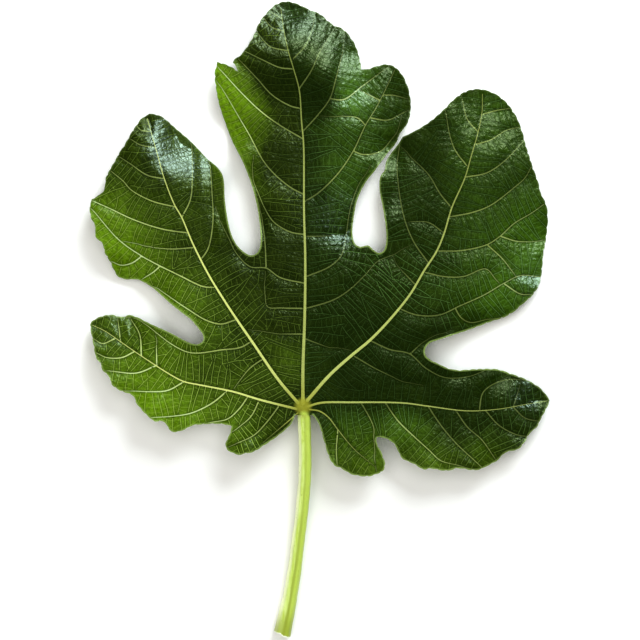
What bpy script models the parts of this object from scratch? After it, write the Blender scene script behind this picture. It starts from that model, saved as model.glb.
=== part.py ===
# A cut fig leaf lying face up: a lobed blade with raised ribs under it, and its stalk.
# Plan positions are millimetres from the hub, where the five main ribs meet the stalk,
# with X to the right and Y towards the tip of the middle lobe. The meshes are in metres.
import math

import bpy
import numpy as np
from mathutils import Vector, kdtree
from mathutils.geometry import delaunay_2d_cdt

MM = 0.001

# Driving sizes of the blade, in millimetres
BLADE_THICKNESS = 0.7
HUB_TOP = 13.0
OUTER_TOP = 5.2
DROOP_RADIUS = 78.0
MARGIN_STEP = 2.9
VEIN_STEP = 3.1
FILL_STEP = 3.45
TRACE_STEP = 0.4

# Relief of the blade: grooves above each vein, puffed fields between them, ribs below, and
# a slight fold along each main rib
MAIN_GROOVE = 0.35
SIDE_GROOVE = 0.22
GROOVE_REACH = 1.1
RIB_FOLD = 0.14
FOLD_REACH = 6.0
PUFF_HEIGHT = 0.5
PUFF_REACH = 3.4
SIDE_RIB = 0.9
SIDE_RIB_REACH = 1.1
RIB_FOOT = 1.7
MARGIN_RIPPLE = 0.7
RIPPLE_LENGTH = 19.0
RIPPLE_REACH = 6.0

# The boss of the hub, where the ribs run together on the end of the stalk
HUB_RADIUS = 3.6
HUB_DEPTH = 4.6
HUB_KNOB = 0.5

# Driving sizes of the stalk, in millimetres
STALK_DIAMETER = 5.2
STALK_END_DIAMETER = 7.2
STALK_SIDES = 16
STALK_STEP = 3.4
STALK_GROOVE = 0.35
END_SLANT = 0.6
REST_SINK = 0.45

# The blade's straight edge at the hub, and the gap between it and the end of the stalk
HUB_EDGE = -3.5
TOUCH_GAP = 0.35

# The margin, clockwise from the left of the stalk. Each stretch is one smooth curve,
# and two stretches meet in a corner: the point of a lobe or tooth, or a sharp notch.
MARGIN = (
    # Left basal lobe
    ((-3.2, HUB_EDGE), (-4.4, -6.6), (-7.4, -9.7), (-11, -12.6), (-15.8, -15.8), (-19.4, -18),
     (-23, -18.8), (-25.6, -19.3), (-28.4, -18.4), (-30.4, -17), (-30.9, -15), (-29, -10.5),
     (-28.4, -8)),
    # Left lower lobe, its lower margin
    ((-28.4, -8), (-30.2, -7.4), (-34, -7), (-40, -7.3), (-43.7, -7.6), (-47.4, -9.4), (-51, -10.4),
     (-53.2, -9.4), (-55.4, -6.2), (-59, -6), (-61, -4.6), (-64.6, -1), (-66.6, 1.4), (-67.8, 4),
     (-73.2, 6.3), (-76.4, 8.8), (-77.2, 11.4), (-80, 14.2), (-80.8, 16.6), (-82.8, 19.6),
     (-83.7, 24), (-84.7, 28.2), (-85.5, 32.4)),
    # Left lower lobe, its upper margin, and the round end of the sinus
    ((-85.5, 32.4), (-84.6, 34), (-80.6, 36), (-76.5, 36.5), (-73.2, 35.7), (-69.7, 36.4),
     (-67.2, 35.8), (-61.3, 33), (-53.5, 29.5), (-46.5, 25.8), (-44, 24.9), (-41.6, 24.8),
     (-39.9, 26), (-39.7, 28), (-42.4, 31.9), (-45, 34.8), (-47.8, 36.9), (-53.5, 41.4),
     (-60.9, 47.7), (-66.6, 50.6), (-71.2, 50.7), (-74.3, 51.7), (-75.8, 54), (-77.3, 57.6),
     (-79.3, 61.4), (-80, 64.6), (-83, 67.8), (-82.9, 71.4), (-84.7, 75.4), (-85.3, 79.6),
     (-84.6, 82.8)),
    # Left upper lobe from its outer tooth to its tip
    ((-84.6, 82.8), (-81, 85), (-79.5, 87), (-79, 91), (-78, 93.4), (-75.2, 98.4), (-73.8, 101.2),
     (-71.8, 104), (-67.4, 111.7), (-64.6, 115.6), (-61.8, 117.3)),
    # Left upper lobe, its right margin, the first sinus and the side of the middle lobe
    ((-61.8, 117.3), (-59.2, 117.1), (-56.2, 115.8), (-51.4, 111.7), (-44.9, 106), (-38.3, 99),
     (-35, 96.3), (-32.7, 93.4), (-31.7, 90), (-31.4, 83.4), (-30.7, 77.6), (-29.6, 72),
     (-28.2, 67.6), (-26.5, 64.5), (-24, 61.9), (-20.9, 60.2), (-18.6, 61), (-17.3, 63),
     (-16.9, 67), (-17.3, 72.6), (-18.5, 80.6), (-20.7, 88.8), (-24, 97.4), (-28.5, 106.4),
     (-31.4, 114), (-33.8, 121.4), (-35, 128), (-35.4, 133), (-34.3, 137.7)),
    # The tooth of the middle lobe and the slit above it
    ((-34.3, 137.7), (-31, 136.7), (-28.2, 135.4), (-25.9, 133.8)),
    ((-25.9, 133.8), (-27, 136), (-28.2, 137.4)),
    # Middle lobe, from the slit over its tip to the notch on its right
    ((-28.2, 137.4), (-27.2, 139), (-24.8, 140.6), (-22.7, 143.4), (-20.9, 146.2), (-19.3, 149.6),
     (-17.6, 153.8), (-14.6, 157.9), (-10.8, 161.6), (-7, 162.8), (-2.4, 161.8), (2.9, 159.2),
     (6.8, 157.6), (10, 154.9), (12.6, 153), (16, 151.7), (18.7, 148.8), (20.9, 145.4),
     (22.5, 140.8), (23.5, 135.2)),
    ((23.5, 135.2), (25.6, 135.2), (29.4, 136.4), (33.7, 137.3), (37, 136.2), (39.8, 132.9),
     (42, 128), (43.3, 121.4), (42.8, 116), (41.4, 112.4), (39, 109.4), (37.4, 105.6),
     (34.2, 101.7), (31.5, 98.1), (28.6, 94), (25.2, 89.7), (21.9, 83), (20.5, 76.6), (19.8, 69),
     (20.8, 65), (22.8, 63.7), (26, 64.2), (28.2, 62.4), (30.4, 61.2), (32.3, 62.2), (33.3, 66),
     (33, 72.2), (32, 79), (30.6, 87), (30.9, 91.6), (32.7, 94.5), (33.3, 97.8), (35.2, 101.1),
     (38.2, 105), (39.9, 107.8)),
    # Right upper lobe, down to the third sinus
    ((39.9, 107.8), (44.1, 109.8), (50.7, 113.9), (56, 118.4), (61, 123.5), (65.6, 126.5),
     (71, 127.4), (77, 125.8), (82.3, 121.7), (86, 116), (88.3, 110), (89.8, 103.6), (91.9, 96.6),
     (94.6, 89), (95.3, 85.6), (97.6, 80.8), (98.5, 75.2), (98, 67.6), (96.6, 60.6), (95.8, 52.6),
     (94.6, 48.2), (91.6, 43.8), (89, 41.6), (84.8, 37.8), (81, 35.5), (75.7, 33.8), (66.7, 30.5),
     (60, 28.4), (54, 26.4), (50.6, 25.2), (48.7, 22.6), (49, 20.2), (51, 18.4), (54, 17),
     (57.6, 15.3), (61.8, 14.4), (70, 14.8), (78.2, 14.6), (83.1, 13), (90.1, 10.3), (96, 6.3),
     (99, 2.1)),
    # Right lower lobe below its point, and the small sinus beside the basal lobe
    ((99, 2.1), (97.6, -0.8), (95.2, -5.2), (93.6, -8.4), (90.9, -10.8), (88.8, -14.2),
     (86, -17.2), (81, -18.6), (77.6, -22), (72.8, -24.4), (70.6, -25.4), (67, -25.5),
     (61.8, -24.8), (57.3, -25.8), (50.8, -24.8), (48, -25.2), (44.2, -23), (40, -21.2),
     (38.3, -19), (37.2, -16.4), (35.2, -14), (31.6, -12.4), (29.4, -12.7), (29.5, -14.6),
     (31.4, -18.6), (32.8, -23.2), (31.8, -25.8), (28.8, -27.2), (26, -28), (19.4, -27.1),
     (15.4, -24.8), (12.6, -23.6), (10.6, -20.8), (8.8, -15.4), (7.6, -11), (6.4, -7.2),
     (5.2, -5), (4, HUB_EDGE)),
)

# The main ribs from the hub to their tips: width where they leave the hub, height there, course
MAIN_RIBS = {
    "midrib": (2.0, 3.0, ((0, 1), (0, 15), (0.7, 36), (0.9, 58.5), (0.4, 77.6), (0.2, 105),
                          (-0.6, 114), (-1.5, 126.4), (-3.9, 135.2), (-5.9, 142), (-7.8, 151.2),
                          (-9, 160))),
    "left_upper": (1.8, 2.6, ((-2, 1.4), (-9.8, 10.6), (-20.1, 25.5), (-26.8, 35.2), (-31.8, 42.8),
                              (-37.9, 52.8), (-44.1, 65), (-48.6, 75.6), (-51.4, 80.5),
                              (-55.4, 90.8), (-58.4, 101.2), (-61.6, 112), (-62.6, 115.4))),
    "right_upper": (2.0, 2.8, ((1.8, 2.4), (10.6, 12.4), (18.8, 19.8), (27, 26.6), (35.4, 35.4),
                               (42.9, 44.8), (48.6, 54.4), (53.4, 61.8), (56.4, 68.8),
                               (59.7, 79.6), (64.8, 91.2), (67.5, 100.4), (69.8, 108),
                               (72, 118), (72.2, 125.4))),
    "left_lower": (1.4, 2.2, ((-2.6, -1), (-17, 2.6), (-27.7, 5.8), (-41.2, 8.5), (-47.4, 9.8),
                              (-52.3, 12.2), (-64.6, 20), (-72, 25), (-79.4, 30),
                              (-84.4, 32.3))),
    "right_lower": (1.3, 2.0, ((2, 0), (7.1, 1.4), (19.4, 1.6), (39.9, 1.3), (49.9, 0),
                               (65.5, -1.9), (78.2, -1.2), (90.1, 0.8), (98, 2))),
    "left_basal": (0.8, 1.2, ((-2, -2.6), (-8.8, -8.4), (-16.4, -14.8))),
    "right_basal": (0.9, 1.2, ((2.4, -1.2), (6.6, -1.9), (10.1, -4.3), (14.1, -9.5),
                               (20.2, -16.8), (28.6, -24))),
}

# The side veins, each from the vein that it leaves to its far end
SIDE_VEINS = (
    # Left upper lobe, outer side from the tip down
    ((-61.6, 110), (-65, 110.5), (-66.8, 112.4)),
    ((-59.2, 103.4), (-65, 104.4), (-68.4, 106.4)),
    ((-55.4, 90.8), (-62.1, 92.2), (-68.7, 96.6), (-73, 99.4)),
    ((-51.2, 79.6), (-60.5, 82), (-68.7, 86.4), (-72, 90), (-76.6, 93.8)),
    ((-46, 69.2), (-56.4, 70.8), (-67.9, 74.6), (-77.7, 79.2), (-83.6, 81.8)),
    ((-43.4, 63.4), (-52.4, 62.8), (-58.4, 63.2)),
    ((-34.8, 47.4), (-40, 47.8), (-49.4, 52.2), (-57.2, 56), (-64.6, 60), (-73.6, 66.4),
     (-83.2, 77.4)),
    ((-64.6, 60), (-68.8, 57.2), (-73.2, 56.4), (-76.2, 57.6)),
    ((-57.2, 56), (-60, 53.6), (-63.6, 51.4)),
    ((-26.6, 34.6), (-32.6, 32.8), (-38.4, 34.2), (-46.1, 38.8), (-56.8, 46)),
    # Left upper lobe, inner side
    ((-48.4, 75.6), (-45.1, 82.6), (-44.4, 91.2), (-44.8, 103)),
    ((-40.8, 58.6), (-38, 62.9), (-36.1, 73.2), (-36.5, 85.6), (-37.2, 95)),
    # Between the left lobes and under the first sinus
    ((-20.4, 26), (-24.8, 23.5), (-33, 22.4), (-42, 21.2), (-46.4, 21.7), (-52.3, 24.6),
     (-61.5, 31.6)),
    ((-15.8, 19), (-21.1, 15.2), (-25.4, 10)),
    ((0.9, 49), (-9.2, 51.4), (-14.7, 55.1), (-21.1, 55.7), (-26.8, 61.3), (-29.6, 67)),
    ((-14.7, 55.1), (-15.2, 65.4), (-16.4, 75)),
    # Middle lobe, left side from the tip down
    ((-8.8, 155.6), (-12.6, 158)),
    ((-7.7, 150.2), (-12.5, 151.8), (-16, 156)),
    ((-5.9, 142), (-13.3, 143.9), (-18.6, 150)),
    ((-4.2, 134.8), (-9.2, 135.3), (-16.6, 138.6), (-23, 141.8)),
    ((-1.2, 119.2), (-5.1, 120.2), (-12.5, 124.6), (-18.2, 130.8), (-24, 137)),
    ((0, 107), (-9.2, 112.4), (-17, 118.1), (-24.8, 125.5), (-32.6, 134)),
    ((0.4, 84.6), (-4.7, 87.3), (-10.8, 92.2), (-15.8, 98), (-21.5, 108.6), (-25.6, 115.6),
     (-31, 124.8)),
    ((0.8, 68.6), (-5.1, 69.6), (-11.7, 73.6), (-15.2, 78.9), (-18.6, 86.8)),
    ((0.9, 39), (-8.4, 39.2), (-14.1, 39.7), (-15.2, 45)),
    ((0.7, 28.8), (-9.2, 28.8)),
    # Middle lobe, right side from the tip down
    ((-3.9, 138.8), (1, 144.4), (3.9, 152.2), (4.6, 157)),
    ((-1.4, 127.1), (3.3, 134.1), (6.8, 141.9), (11, 149)),
    ((0.2, 110.3), (5.8, 116.4), (10.7, 123), (13.2, 131.2), (15.4, 140)),
    ((10.8, 123), (16.4, 122.8), (23.4, 128), (31, 133.8)),
    ((0.6, 81.8), (6.4, 85.5), (14.2, 93.3), (20.3, 102.4), (25, 112.4), (29.2, 119.3),
     (32.8, 126.3), (36.8, 134.8)),
    ((20.2, 102), (24.3, 100.7), (30.9, 102), (36.4, 108)),
    ((27.1, 115.4), (34.1, 114.6), (40.4, 117.7)),
    ((32.4, 124.6), (36, 124.6), (41, 123.4)),
    ((25, 112.6), (21.8, 115.4), (16.4, 116)),
    ((30.8, 122.6), (25, 125.5)),
    ((0.9, 67.8), (10.4, 68)),
    ((1, 51.6), (10.9, 55.9), (15.4, 60.4), (17, 67), (18.9, 79), (20.6, 84.4)),
    ((0.9, 38.9), (12.1, 42.4), (18.5, 46.4), (24.8, 52.4), (29.8, 57.8), (34.7, 60)),
    ((0.6, 27), (9.2, 23.8)),
    # Right upper lobe, inner side
    ((50.2, 57.2), (44.4, 65.5), (40.8, 74.1), (38.7, 84.4), (37.7, 96), (38.6, 103.4)),
    ((56.4, 69.2), (50.3, 73.4), (44, 73.8)),
    ((59.6, 79.2), (54.8, 85.2), (50.3, 92.6), (43.3, 99.6)),
    ((65.8, 96), (61, 102.4), (58.9, 108.2), (57.4, 116.8)),
    ((70.2, 110), (65.9, 115.2), (64.2, 122.4)),
    ((44.8, 48.6), (39.2, 54.5)),
    # Right upper lobe, outer side
    ((38.6, 38.9), (45.4, 36.4), (54.4, 36.4), (62.6, 40), (72.4, 44.4), (81, 49.4), (87.2, 52.2),
     (94.8, 51.8)),
    ((60.8, 39), (63.4, 35.2), (67.1, 33.4), (73.6, 34.6)),
    ((80.4, 49), (87.2, 44.8), (91, 44.6)),
    ((48.9, 53.4), (56.8, 51.7), (64.2, 51.8), (73.2, 54.8), (77, 50.8)),
    ((54, 62), (63.4, 62.2), (73.7, 64.6), (79, 68), (84.8, 73.2), (91.7, 77.3), (96.6, 80.8)),
    ((73.7, 64.6), (79.8, 59), (84.3, 53.3)),
    ((79, 68), (85.6, 66), (91, 65.8)),
    ((58.6, 75.7), (67.5, 77.4), (74.9, 80.2), (84.3, 87.2), (89.2, 91.6), (91.4, 95.6)),
    ((64.9, 91.6), (73.7, 93.4), (80.6, 98), (88.4, 106)),
    ((69.2, 104.8), (75.7, 106.9), (81.5, 110.6), (87, 112)),
    ((71.7, 117), (77.8, 118.8), (83, 119.6)),
    ((27.2, 26), (34.7, 22.6), (42.5, 20.9), (49, 15.2), (56.8, 11.4), (66.3, 11.8), (71, 13.4)),
    ((42.9, 21), (46.6, 24.4)),
    ((20.4, 20), (28.6, 15.2), (34.7, 12.2)),
    # Right lower lobe
    ((23.1, 1.6), (27.2, -5.8), (28.3, -9), (28.2, -12)),
    ((32.8, 1.4), (37.9, -5.8), (44, -11.8), (50.4, -17.6), (54.8, -21.6), (62, -23.6)),
    ((49.9, 0), (55.2, -7.8), (61, -14.7), (67.5, -20.8), (71.4, -24.4)),
    ((60.8, -1.4), (65.9, -8.6), (71.2, -13.2), (76.4, -20.4)),
    ((72.8, -1.6), (78.2, -7.6), (85.2, -11.4), (89.4, -12.2)),
    ((84, -0.4), (88.8, -4.8), (94.2, -6.1)),
    ((70.4, -1.8), (72, 5.4), (77, 9.1), (83.1, 10.6), (88, 10.4)),
    ((84.1, -0.4), (86, 5.4)),
    # Left lower lobe
    ((-9.2, 0.6), (-14.5, -6.4), (-19.4, -11.4), (-27, -15)),
    ((-21.7, 4.2), (-25.4, -1), (-30, -5), (-36.4, -6.4)),
    ((-17.2, 2.9), (-20.7, -4), (-26.4, -9)),
    ((-29.9, 6.4), (-36.3, 1.2), (-44.5, -2.7), (-52.4, -4), (-59.4, -4.4)),
    ((-47.4, 9.8), (-54, 6.3), (-61.3, 5.8), (-67.4, 6)),
    ((-58.6, 16.2), (-66.6, 13.2), (-76.8, 14)),
    ((-67.4, 21.8), (-72.4, 19.4), (-78.5, 19.4), (-82.4, 21.2)),
    ((-75.2, 27), (-80.2, 25), (-83.6, 26.8)),
    ((-58.4, 16.4), (-58.6, 23.7)),
    ((-64.6, 20), (-65.4, 28.6), (-69, 34.6)),
    ((-73, 25.7), (-74.2, 34)),
    # Right basal lobe
    ((13.9, -9.4), (13.3, -17.6), (13.6, -22.8)),
)

# Swells and hollows of the whole blade: place, radius and height
SWELLS = (
    # The two low spots that it rests on, near the tips of the upper lobes
    (-41, 114.5, 16.5, -11.2), (88, 133, 24, -7.8),
    # Middle lobe: raised left flap, crest below its tip, falling tip and right shoulder
    (-35, 124, 14, 7.2), (-24, 100, 9, 2.0), (-9, 140, 15, 3.8), (-3, 172, 17, -8.8),
    (8, 133, 9, 2.4), (28, 151, 17, -6.4), (24, 72, 11, -3.2),
    (15, 113, 9, 1.0), (30, 130, 9, -0.8),
    # Left upper lobe: raised outer margin, crest left of its rib
    (-86, 68, 15, 4.2), (-56, 78, 12, 1.6), (-64, 95, 14, 2.6), (-30, 84, 8, -1.6),
    (-61, 105, 8, 2.2), (-55, 92, 8, 1.6),
    # Left lower lobe: raised lower margin, falling upper margin
    (-62, -6, 13, 3.4), (-84, 12, 12, 2.8), (-72, 47, 14, -6.0), (-28, -18, 10, 2.0),
    # Right upper lobe: crest under its tip, falling right margin, crest beside the gap
    (64, 100, 14, 1.2), (104, 66, 15, -6.0), (66, 48, 14, 1.6), (33, 74, 10, 2.0),
    (37, 105, 9, -2.0),
    # Right lower lobe: falling upper margin, raised lower margin
    (80, 26, 14, -6.0), (78, -2, 12, 1.6), (58, -26, 13, 2.4), (92, -14, 10, 1.6),
    (26, -28, 10, 1.4),
)

# The stalk's centreline in plan, from the hub to the cut end
STALK_COURSE = ((0.4, HUB_EDGE - TOUCH_GAP), (0.7, -14), (0.8, -22), (0.6, -30), (-0.1, -38),
                (-0.9, -46), (-2, -54), (-2.9, -62), (-4.1, -70), (-5.5, -78), (-7, -85),
                (-8.5, -92))

# Colour, roughness and metallic value of each finish
LEAF_GREEN = ((0.028, 0.075, 0.008, 1.0), 0.38, 0.0)
STALK_GREEN = ((0.55, 0.68, 0.14, 1.0), 0.42, 0.0)


def smooth_path(points, step):
    """Points about one step apart on a smooth curve through the given points."""
    given = np.array(points, dtype=float)
    before = 2 * given[0] - given[1]
    after = 2 * given[-1] - given[-2]
    path = np.vstack([before, given, after])
    found = []
    for k in range(1, len(path) - 2):
        p0, p1, p2, p3 = path[k - 1:k + 3]
        knots = [0.0]
        for start, end in ((p0, p1), (p1, p2), (p2, p3)):
            knots.append(knots[-1] + math.sqrt(np.linalg.norm(end - start)))
        t0, t1, t2, t3 = knots
        count = max(2, math.ceil(np.linalg.norm(p2 - p1) / TRACE_STEP))
        t = np.linspace(t1, t2, count, endpoint=False)[:, None]
        a1 = (t1 - t) / (t1 - t0) * p0 + (t - t0) / (t1 - t0) * p1
        a2 = (t2 - t) / (t2 - t1) * p1 + (t - t1) / (t2 - t1) * p2
        a3 = (t3 - t) / (t3 - t2) * p2 + (t - t2) / (t3 - t2) * p3
        b1 = (t2 - t) / (t2 - t0) * a1 + (t - t0) / (t2 - t0) * a2
        b2 = (t3 - t) / (t3 - t1) * a2 + (t - t1) / (t3 - t1) * a3
        found.append((t2 - t) / (t2 - t1) * b1 + (t - t1) / (t2 - t1) * b2)
    found.append(given[-1:])
    dense = np.vstack(found)
    reach = np.concatenate([[0.0], np.cumsum(np.linalg.norm(np.diff(dense, axis=0), axis=1))])
    count = max(1, round(reach[-1] / step))
    even = np.linspace(0.0, reach[-1], count + 1)
    return np.column_stack([np.interp(even, reach, dense[:, axis]) for axis in (0, 1)])


def margin_points(step):
    """The closed margin, each corner once."""
    return np.vstack([smooth_path(stretch, step)[:-1] for stretch in MARGIN]
                     + [np.array(MARGIN[-1][-1], dtype=float)[None, :]])


def tree_of(points):
    """A search tree over plan points."""
    tree = kdtree.KDTree(len(points))
    for index, (x, y) in enumerate(points):
        tree.insert((x, y, 0.0), index)
    tree.balance()
    return tree


def nearest(tree, points):
    """Index of and distance to the nearest point of a tree, for every plan point."""
    hits = [tree.find((x, y, 0.0)) for x, y in points]
    return np.array([hit[1] for hit in hits]), np.array([hit[2] for hit in hits])


def traced_ribs():
    """Close points along the main ribs, with the rib's width and height at each."""
    places, widths, heights = [], [], []
    for width, height, course in MAIN_RIBS.values():
        path = smooth_path(course, TRACE_STEP)
        along = np.linspace(0.0, 1.0, len(path))
        places.append(path)
        widths.append(width * (1.0 - 0.75 * along))
        heights.append(height * (1.0 - 0.8 * along ** 0.7))
    return np.vstack(places), np.concatenate(widths), np.concatenate(heights)


def traced_sides():
    """Close points along the side veins."""
    return np.vstack([smooth_path(course, TRACE_STEP) for course in SIDE_VEINS])


def keep_apart(kept, wanted, gap):
    """Adds the wanted points that lie at least a gap from every point kept before."""
    tree = tree_of(kept)
    far = nearest(tree, wanted)[1] >= gap
    return np.vstack([kept, np.asarray(wanted)[far]])


def inside(points, margin):
    """True for the points within the closed margin."""
    x, y = points[:, 0], points[:, 1]
    found = np.zeros(len(points), dtype=bool)
    for (x1, y1), (x2, y2) in zip(margin, np.roll(margin, -1, axis=0)):
        if y1 == y2:
            continue
        spans = (y1 > y) != (y2 > y)
        found ^= spans & (x < x1 + (y - y1) * (x2 - x1) / (y2 - y1))
    return found


def honeycomb(margin, step):
    """Points of an even triangular grid over the blade."""
    low, high = margin.min(axis=0), margin.max(axis=0)
    rows = []
    row_step = step * math.sqrt(3) / 2
    for row, y in enumerate(np.arange(low[1], high[1], row_step)):
        x = np.arange(low[0] + (row % 2) * step / 2, high[0], step)
        rows.append(np.column_stack([x, np.full_like(x, y)]))
    return np.vstack(rows)


def blade_plan(margin):
    """Plan points and triangles of the blade, with rows of points along every vein."""
    points = margin.copy()
    feet = []
    for _, _, course in MAIN_RIBS.values():
        crest = smooth_path(course, VEIN_STEP)
        along = np.gradient(crest, axis=0)
        along /= np.linalg.norm(along, axis=1)[:, None]
        aside = np.column_stack([-along[:, 1], along[:, 0]]) * RIB_FOOT
        points = keep_apart(points, crest, 1.1)
        feet += [crest + aside, crest - aside]
    for row in feet:
        points = keep_apart(points, row[inside(row, margin)], 1.2)
    for course in SIDE_VEINS:
        row = smooth_path(course, VEIN_STEP)
        points = keep_apart(points, row[inside(row, margin)], 1.35)
    fill = honeycomb(margin, FILL_STEP)
    points = keep_apart(points, fill[inside(fill, margin)], 0.62 * FILL_STEP)
    rim = list(range(len(margin)))
    sides = list(zip(rim, rim[1:] + rim[:1]))
    places, _, triangles = delaunay_2d_cdt([Vector(p) for p in points], sides, [], 0, 1e-5,
                                           False)[:3]
    places = np.array([tuple(p) for p in places])
    triangles = np.array(triangles)
    triangles = triangles[inside(places[triangles].mean(axis=1), margin)]
    return places, [tuple(int(corner) for corner in triangle) for triangle in triangles]


def blade_height(points, margin):
    """Heights of the upper and the lower face over plan points."""
    x, y = points[:, 0], points[:, 1]
    rib_places, rib_widths, rib_heights = traced_ribs()
    rib, to_rib = nearest(tree_of(rib_places), points)
    to_side = nearest(tree_of(traced_sides()), points)[1]
    edge, to_edge = nearest(tree_of(margin), points)
    from_hub = np.hypot(x, y)
    top = OUTER_TOP + (HUB_TOP - OUTER_TOP) * np.exp(-(from_hub / DROOP_RADIUS) ** 2)
    for swell_x, swell_y, radius, height in SWELLS:
        top += height * np.exp(-((x - swell_x) ** 2 + (y - swell_y) ** 2) / radius ** 2)
    ripple = np.sin(math.tau * edge * MARGIN_STEP / RIPPLE_LENGTH)
    top += MARGIN_RIPPLE * ripple * np.exp(-(to_edge / RIPPLE_REACH) ** 2)
    to_vein = np.minimum(to_rib, to_side)
    top += PUFF_HEIGHT * (1.0 - np.exp(-(to_vein / PUFF_REACH) ** 2))
    top -= RIB_FOLD * to_rib * np.exp(-(to_rib / FOLD_REACH) ** 2)
    top -= MAIN_GROOVE * np.exp(-(to_rib / GROOVE_REACH) ** 2)
    top -= SIDE_GROOVE * np.exp(-(to_side / GROOVE_REACH) ** 2)
    hub = np.exp(-(from_hub / HUB_RADIUS) ** 4)
    top += HUB_KNOB * hub
    thickness = BLADE_THICKNESS + rib_heights[rib] * np.exp(-(to_rib / (0.5 * RIB_FOOT)) ** 2)
    side_rib = BLADE_THICKNESS + SIDE_RIB * np.exp(-(to_side / SIDE_RIB_REACH) ** 2)
    thickness = np.maximum(thickness, side_rib)
    thickness = np.maximum(thickness, (HUB_DEPTH + HUB_KNOB) * hub)
    top = np.maximum(top, BLADE_THICKNESS)
    bottom = np.maximum(top - thickness, 0.0)
    return top, bottom


def make_mesh_object(name, vertices, faces, material):
    """One object from vertices in millimetres."""
    mesh = bpy.data.meshes.new(name)
    mesh.from_pydata([tuple(v) for v in np.asarray(vertices) * MM], [], faces)
    mesh.validate()
    mesh.materials.append(material)
    made = bpy.data.objects.new(name, mesh)
    return made


def make_blade(material):
    """The lobed blade: the same triangles above and below, joined by a wall round the margin."""
    margin = margin_points(MARGIN_STEP)
    points, triangles = blade_plan(margin)
    top, bottom = blade_height(points, margin)
    upper = np.column_stack([points, top])
    lower = np.column_stack([points, bottom])
    count = len(points)
    edges = {}
    for a, b, c in triangles:
        for edge in ((a, b), (b, c), (c, a)):
            edges[edge] = True
    rim = [(a, b) for a, b in edges if (b, a) not in edges]
    faces = list(triangles)
    faces += [(c + count, b + count, a + count) for a, b, c in triangles]
    for a, b in rim:
        faces.append((b, a, a + count))
        faces.append((b, a + count, b + count))
    made = make_mesh_object("blade", np.vstack([upper, lower]), faces, material)
    made.data.shade_smooth()
    made.data.set_sharp_from_angle(angle=math.radians(50))
    return made


def stalk_sections():
    """Centres, directions and diameters of the stalk's sections."""
    plan = smooth_path(STALK_COURSE, STALK_STEP)
    along = np.linspace(0.0, 1.0, len(plan))
    diameter = STALK_DIAMETER + (STALK_END_DIAMETER - STALK_DIAMETER) * along ** 5
    start = HUB_TOP + 0.5 * HUB_KNOB - 0.5 * HUB_DEPTH - 0.4
    end = 0.5 * STALK_END_DIAMETER - REST_SINK
    fall = 1.0 - np.clip(along / 0.86, 0.0, 1.0)
    height = end + (start - end) * (0.35 * fall + 0.65 * fall ** 2)
    height = np.maximum(height, 0.5 * diameter - REST_SINK)
    heading = np.gradient(plan, axis=0)
    heading /= np.linalg.norm(heading, axis=1)[:, None]
    return plan, heading, height, diameter


def make_stalk(material):
    """The stalk: a tube with a shallow groove along its upper side, cut off aslant."""
    plan, heading, height, diameter = stalk_sections()
    last = len(plan) - 1
    vertices = []
    for k, (centre, ahead, middle, across) in enumerate(zip(plan, heading, height, diameter)):
        aside = np.array([-ahead[1], ahead[0]])
        if k == 0:
            aside = np.array([1.0, 0.0])
        slant = END_SLANT if k == last else 0.0
        for side in range(STALK_SIDES):
            turn = math.tau * side / STALK_SIDES
            radius = 0.5 * across
            radius -= STALK_GROOVE * math.exp(-(math.sin(turn / 2 - math.pi / 4) / 0.2) ** 2)
            reach = radius * math.cos(turn)
            x, y = centre + aside * reach + ahead * slant * math.cos(turn)
            z = max(0.0, middle + radius * math.sin(turn))
            vertices.append((x, y, z))
    faces = []
    for k in range(last):
        for side in range(STALK_SIDES):
            after = (side + 1) % STALK_SIDES
            a, b = k * STALK_SIDES + side, k * STALK_SIDES + after
            faces.append((a, b, b + STALK_SIDES, a + STALK_SIDES))
    faces.append(tuple(reversed(range(STALK_SIDES))))
    faces.append(tuple(last * STALK_SIDES + side for side in range(STALK_SIDES)))
    made = make_mesh_object("stalk", vertices, faces, material)
    made.data.shade_smooth()
    made.data.set_sharp_from_angle(angle=math.radians(40))
    return made


def make_material(name, finish):
    """A Principled material of one colour, roughness and metallic value."""
    colour, roughness, metallic = finish
    made = bpy.data.materials.new(name)
    made.use_nodes = True
    made.diffuse_color = colour
    shader = made.node_tree.nodes["Principled BSDF"]
    shader.inputs["Base Color"].default_value = colour
    shader.inputs["Roughness"].default_value = roughness
    shader.inputs["Metallic"].default_value = metallic
    return made


def clear_scene():
    """Removes what the file holds."""
    for old in list(bpy.data.objects):
        bpy.data.objects.remove(old, do_unlink=True)


def main():
    clear_scene()
    collection = bpy.data.collections.new("fig_leaf")
    bpy.context.scene.collection.children.link(collection)
    pieces = [
        make_blade(make_material("leaf_green", LEAF_GREEN)),
        make_stalk(make_material("stalk_green", STALK_GREEN)),
    ]
    corners = np.array([v.co[:] for piece in pieces for v in piece.data.vertices])
    middle = 0.5 * (corners.min(axis=0) + corners.max(axis=0))
    for piece in pieces:
        collection.objects.link(piece)
        piece.location = (-middle[0], -middle[1], 0.0)


main()
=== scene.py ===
# %% [markdown]
# # A cut fig leaf, lying face up
#
# A fig leaf is one thin sheet with a strong frame of ribs, and a round stalk that carries it.
# This lesson builds its looks around a plain model of the same leaf: the same outline, ribs and
# waves, but with the whole net of small veins, the puffed skin between them and the real finish
# of both faces. The leaf lies on a pale floor, and the camera looks straight down on it.

# %% Load the plain model
import math
import random

import bpy
import numpy as np
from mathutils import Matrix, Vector, kdtree
from mathutils.geometry import delaunay_2d_cdt


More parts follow.
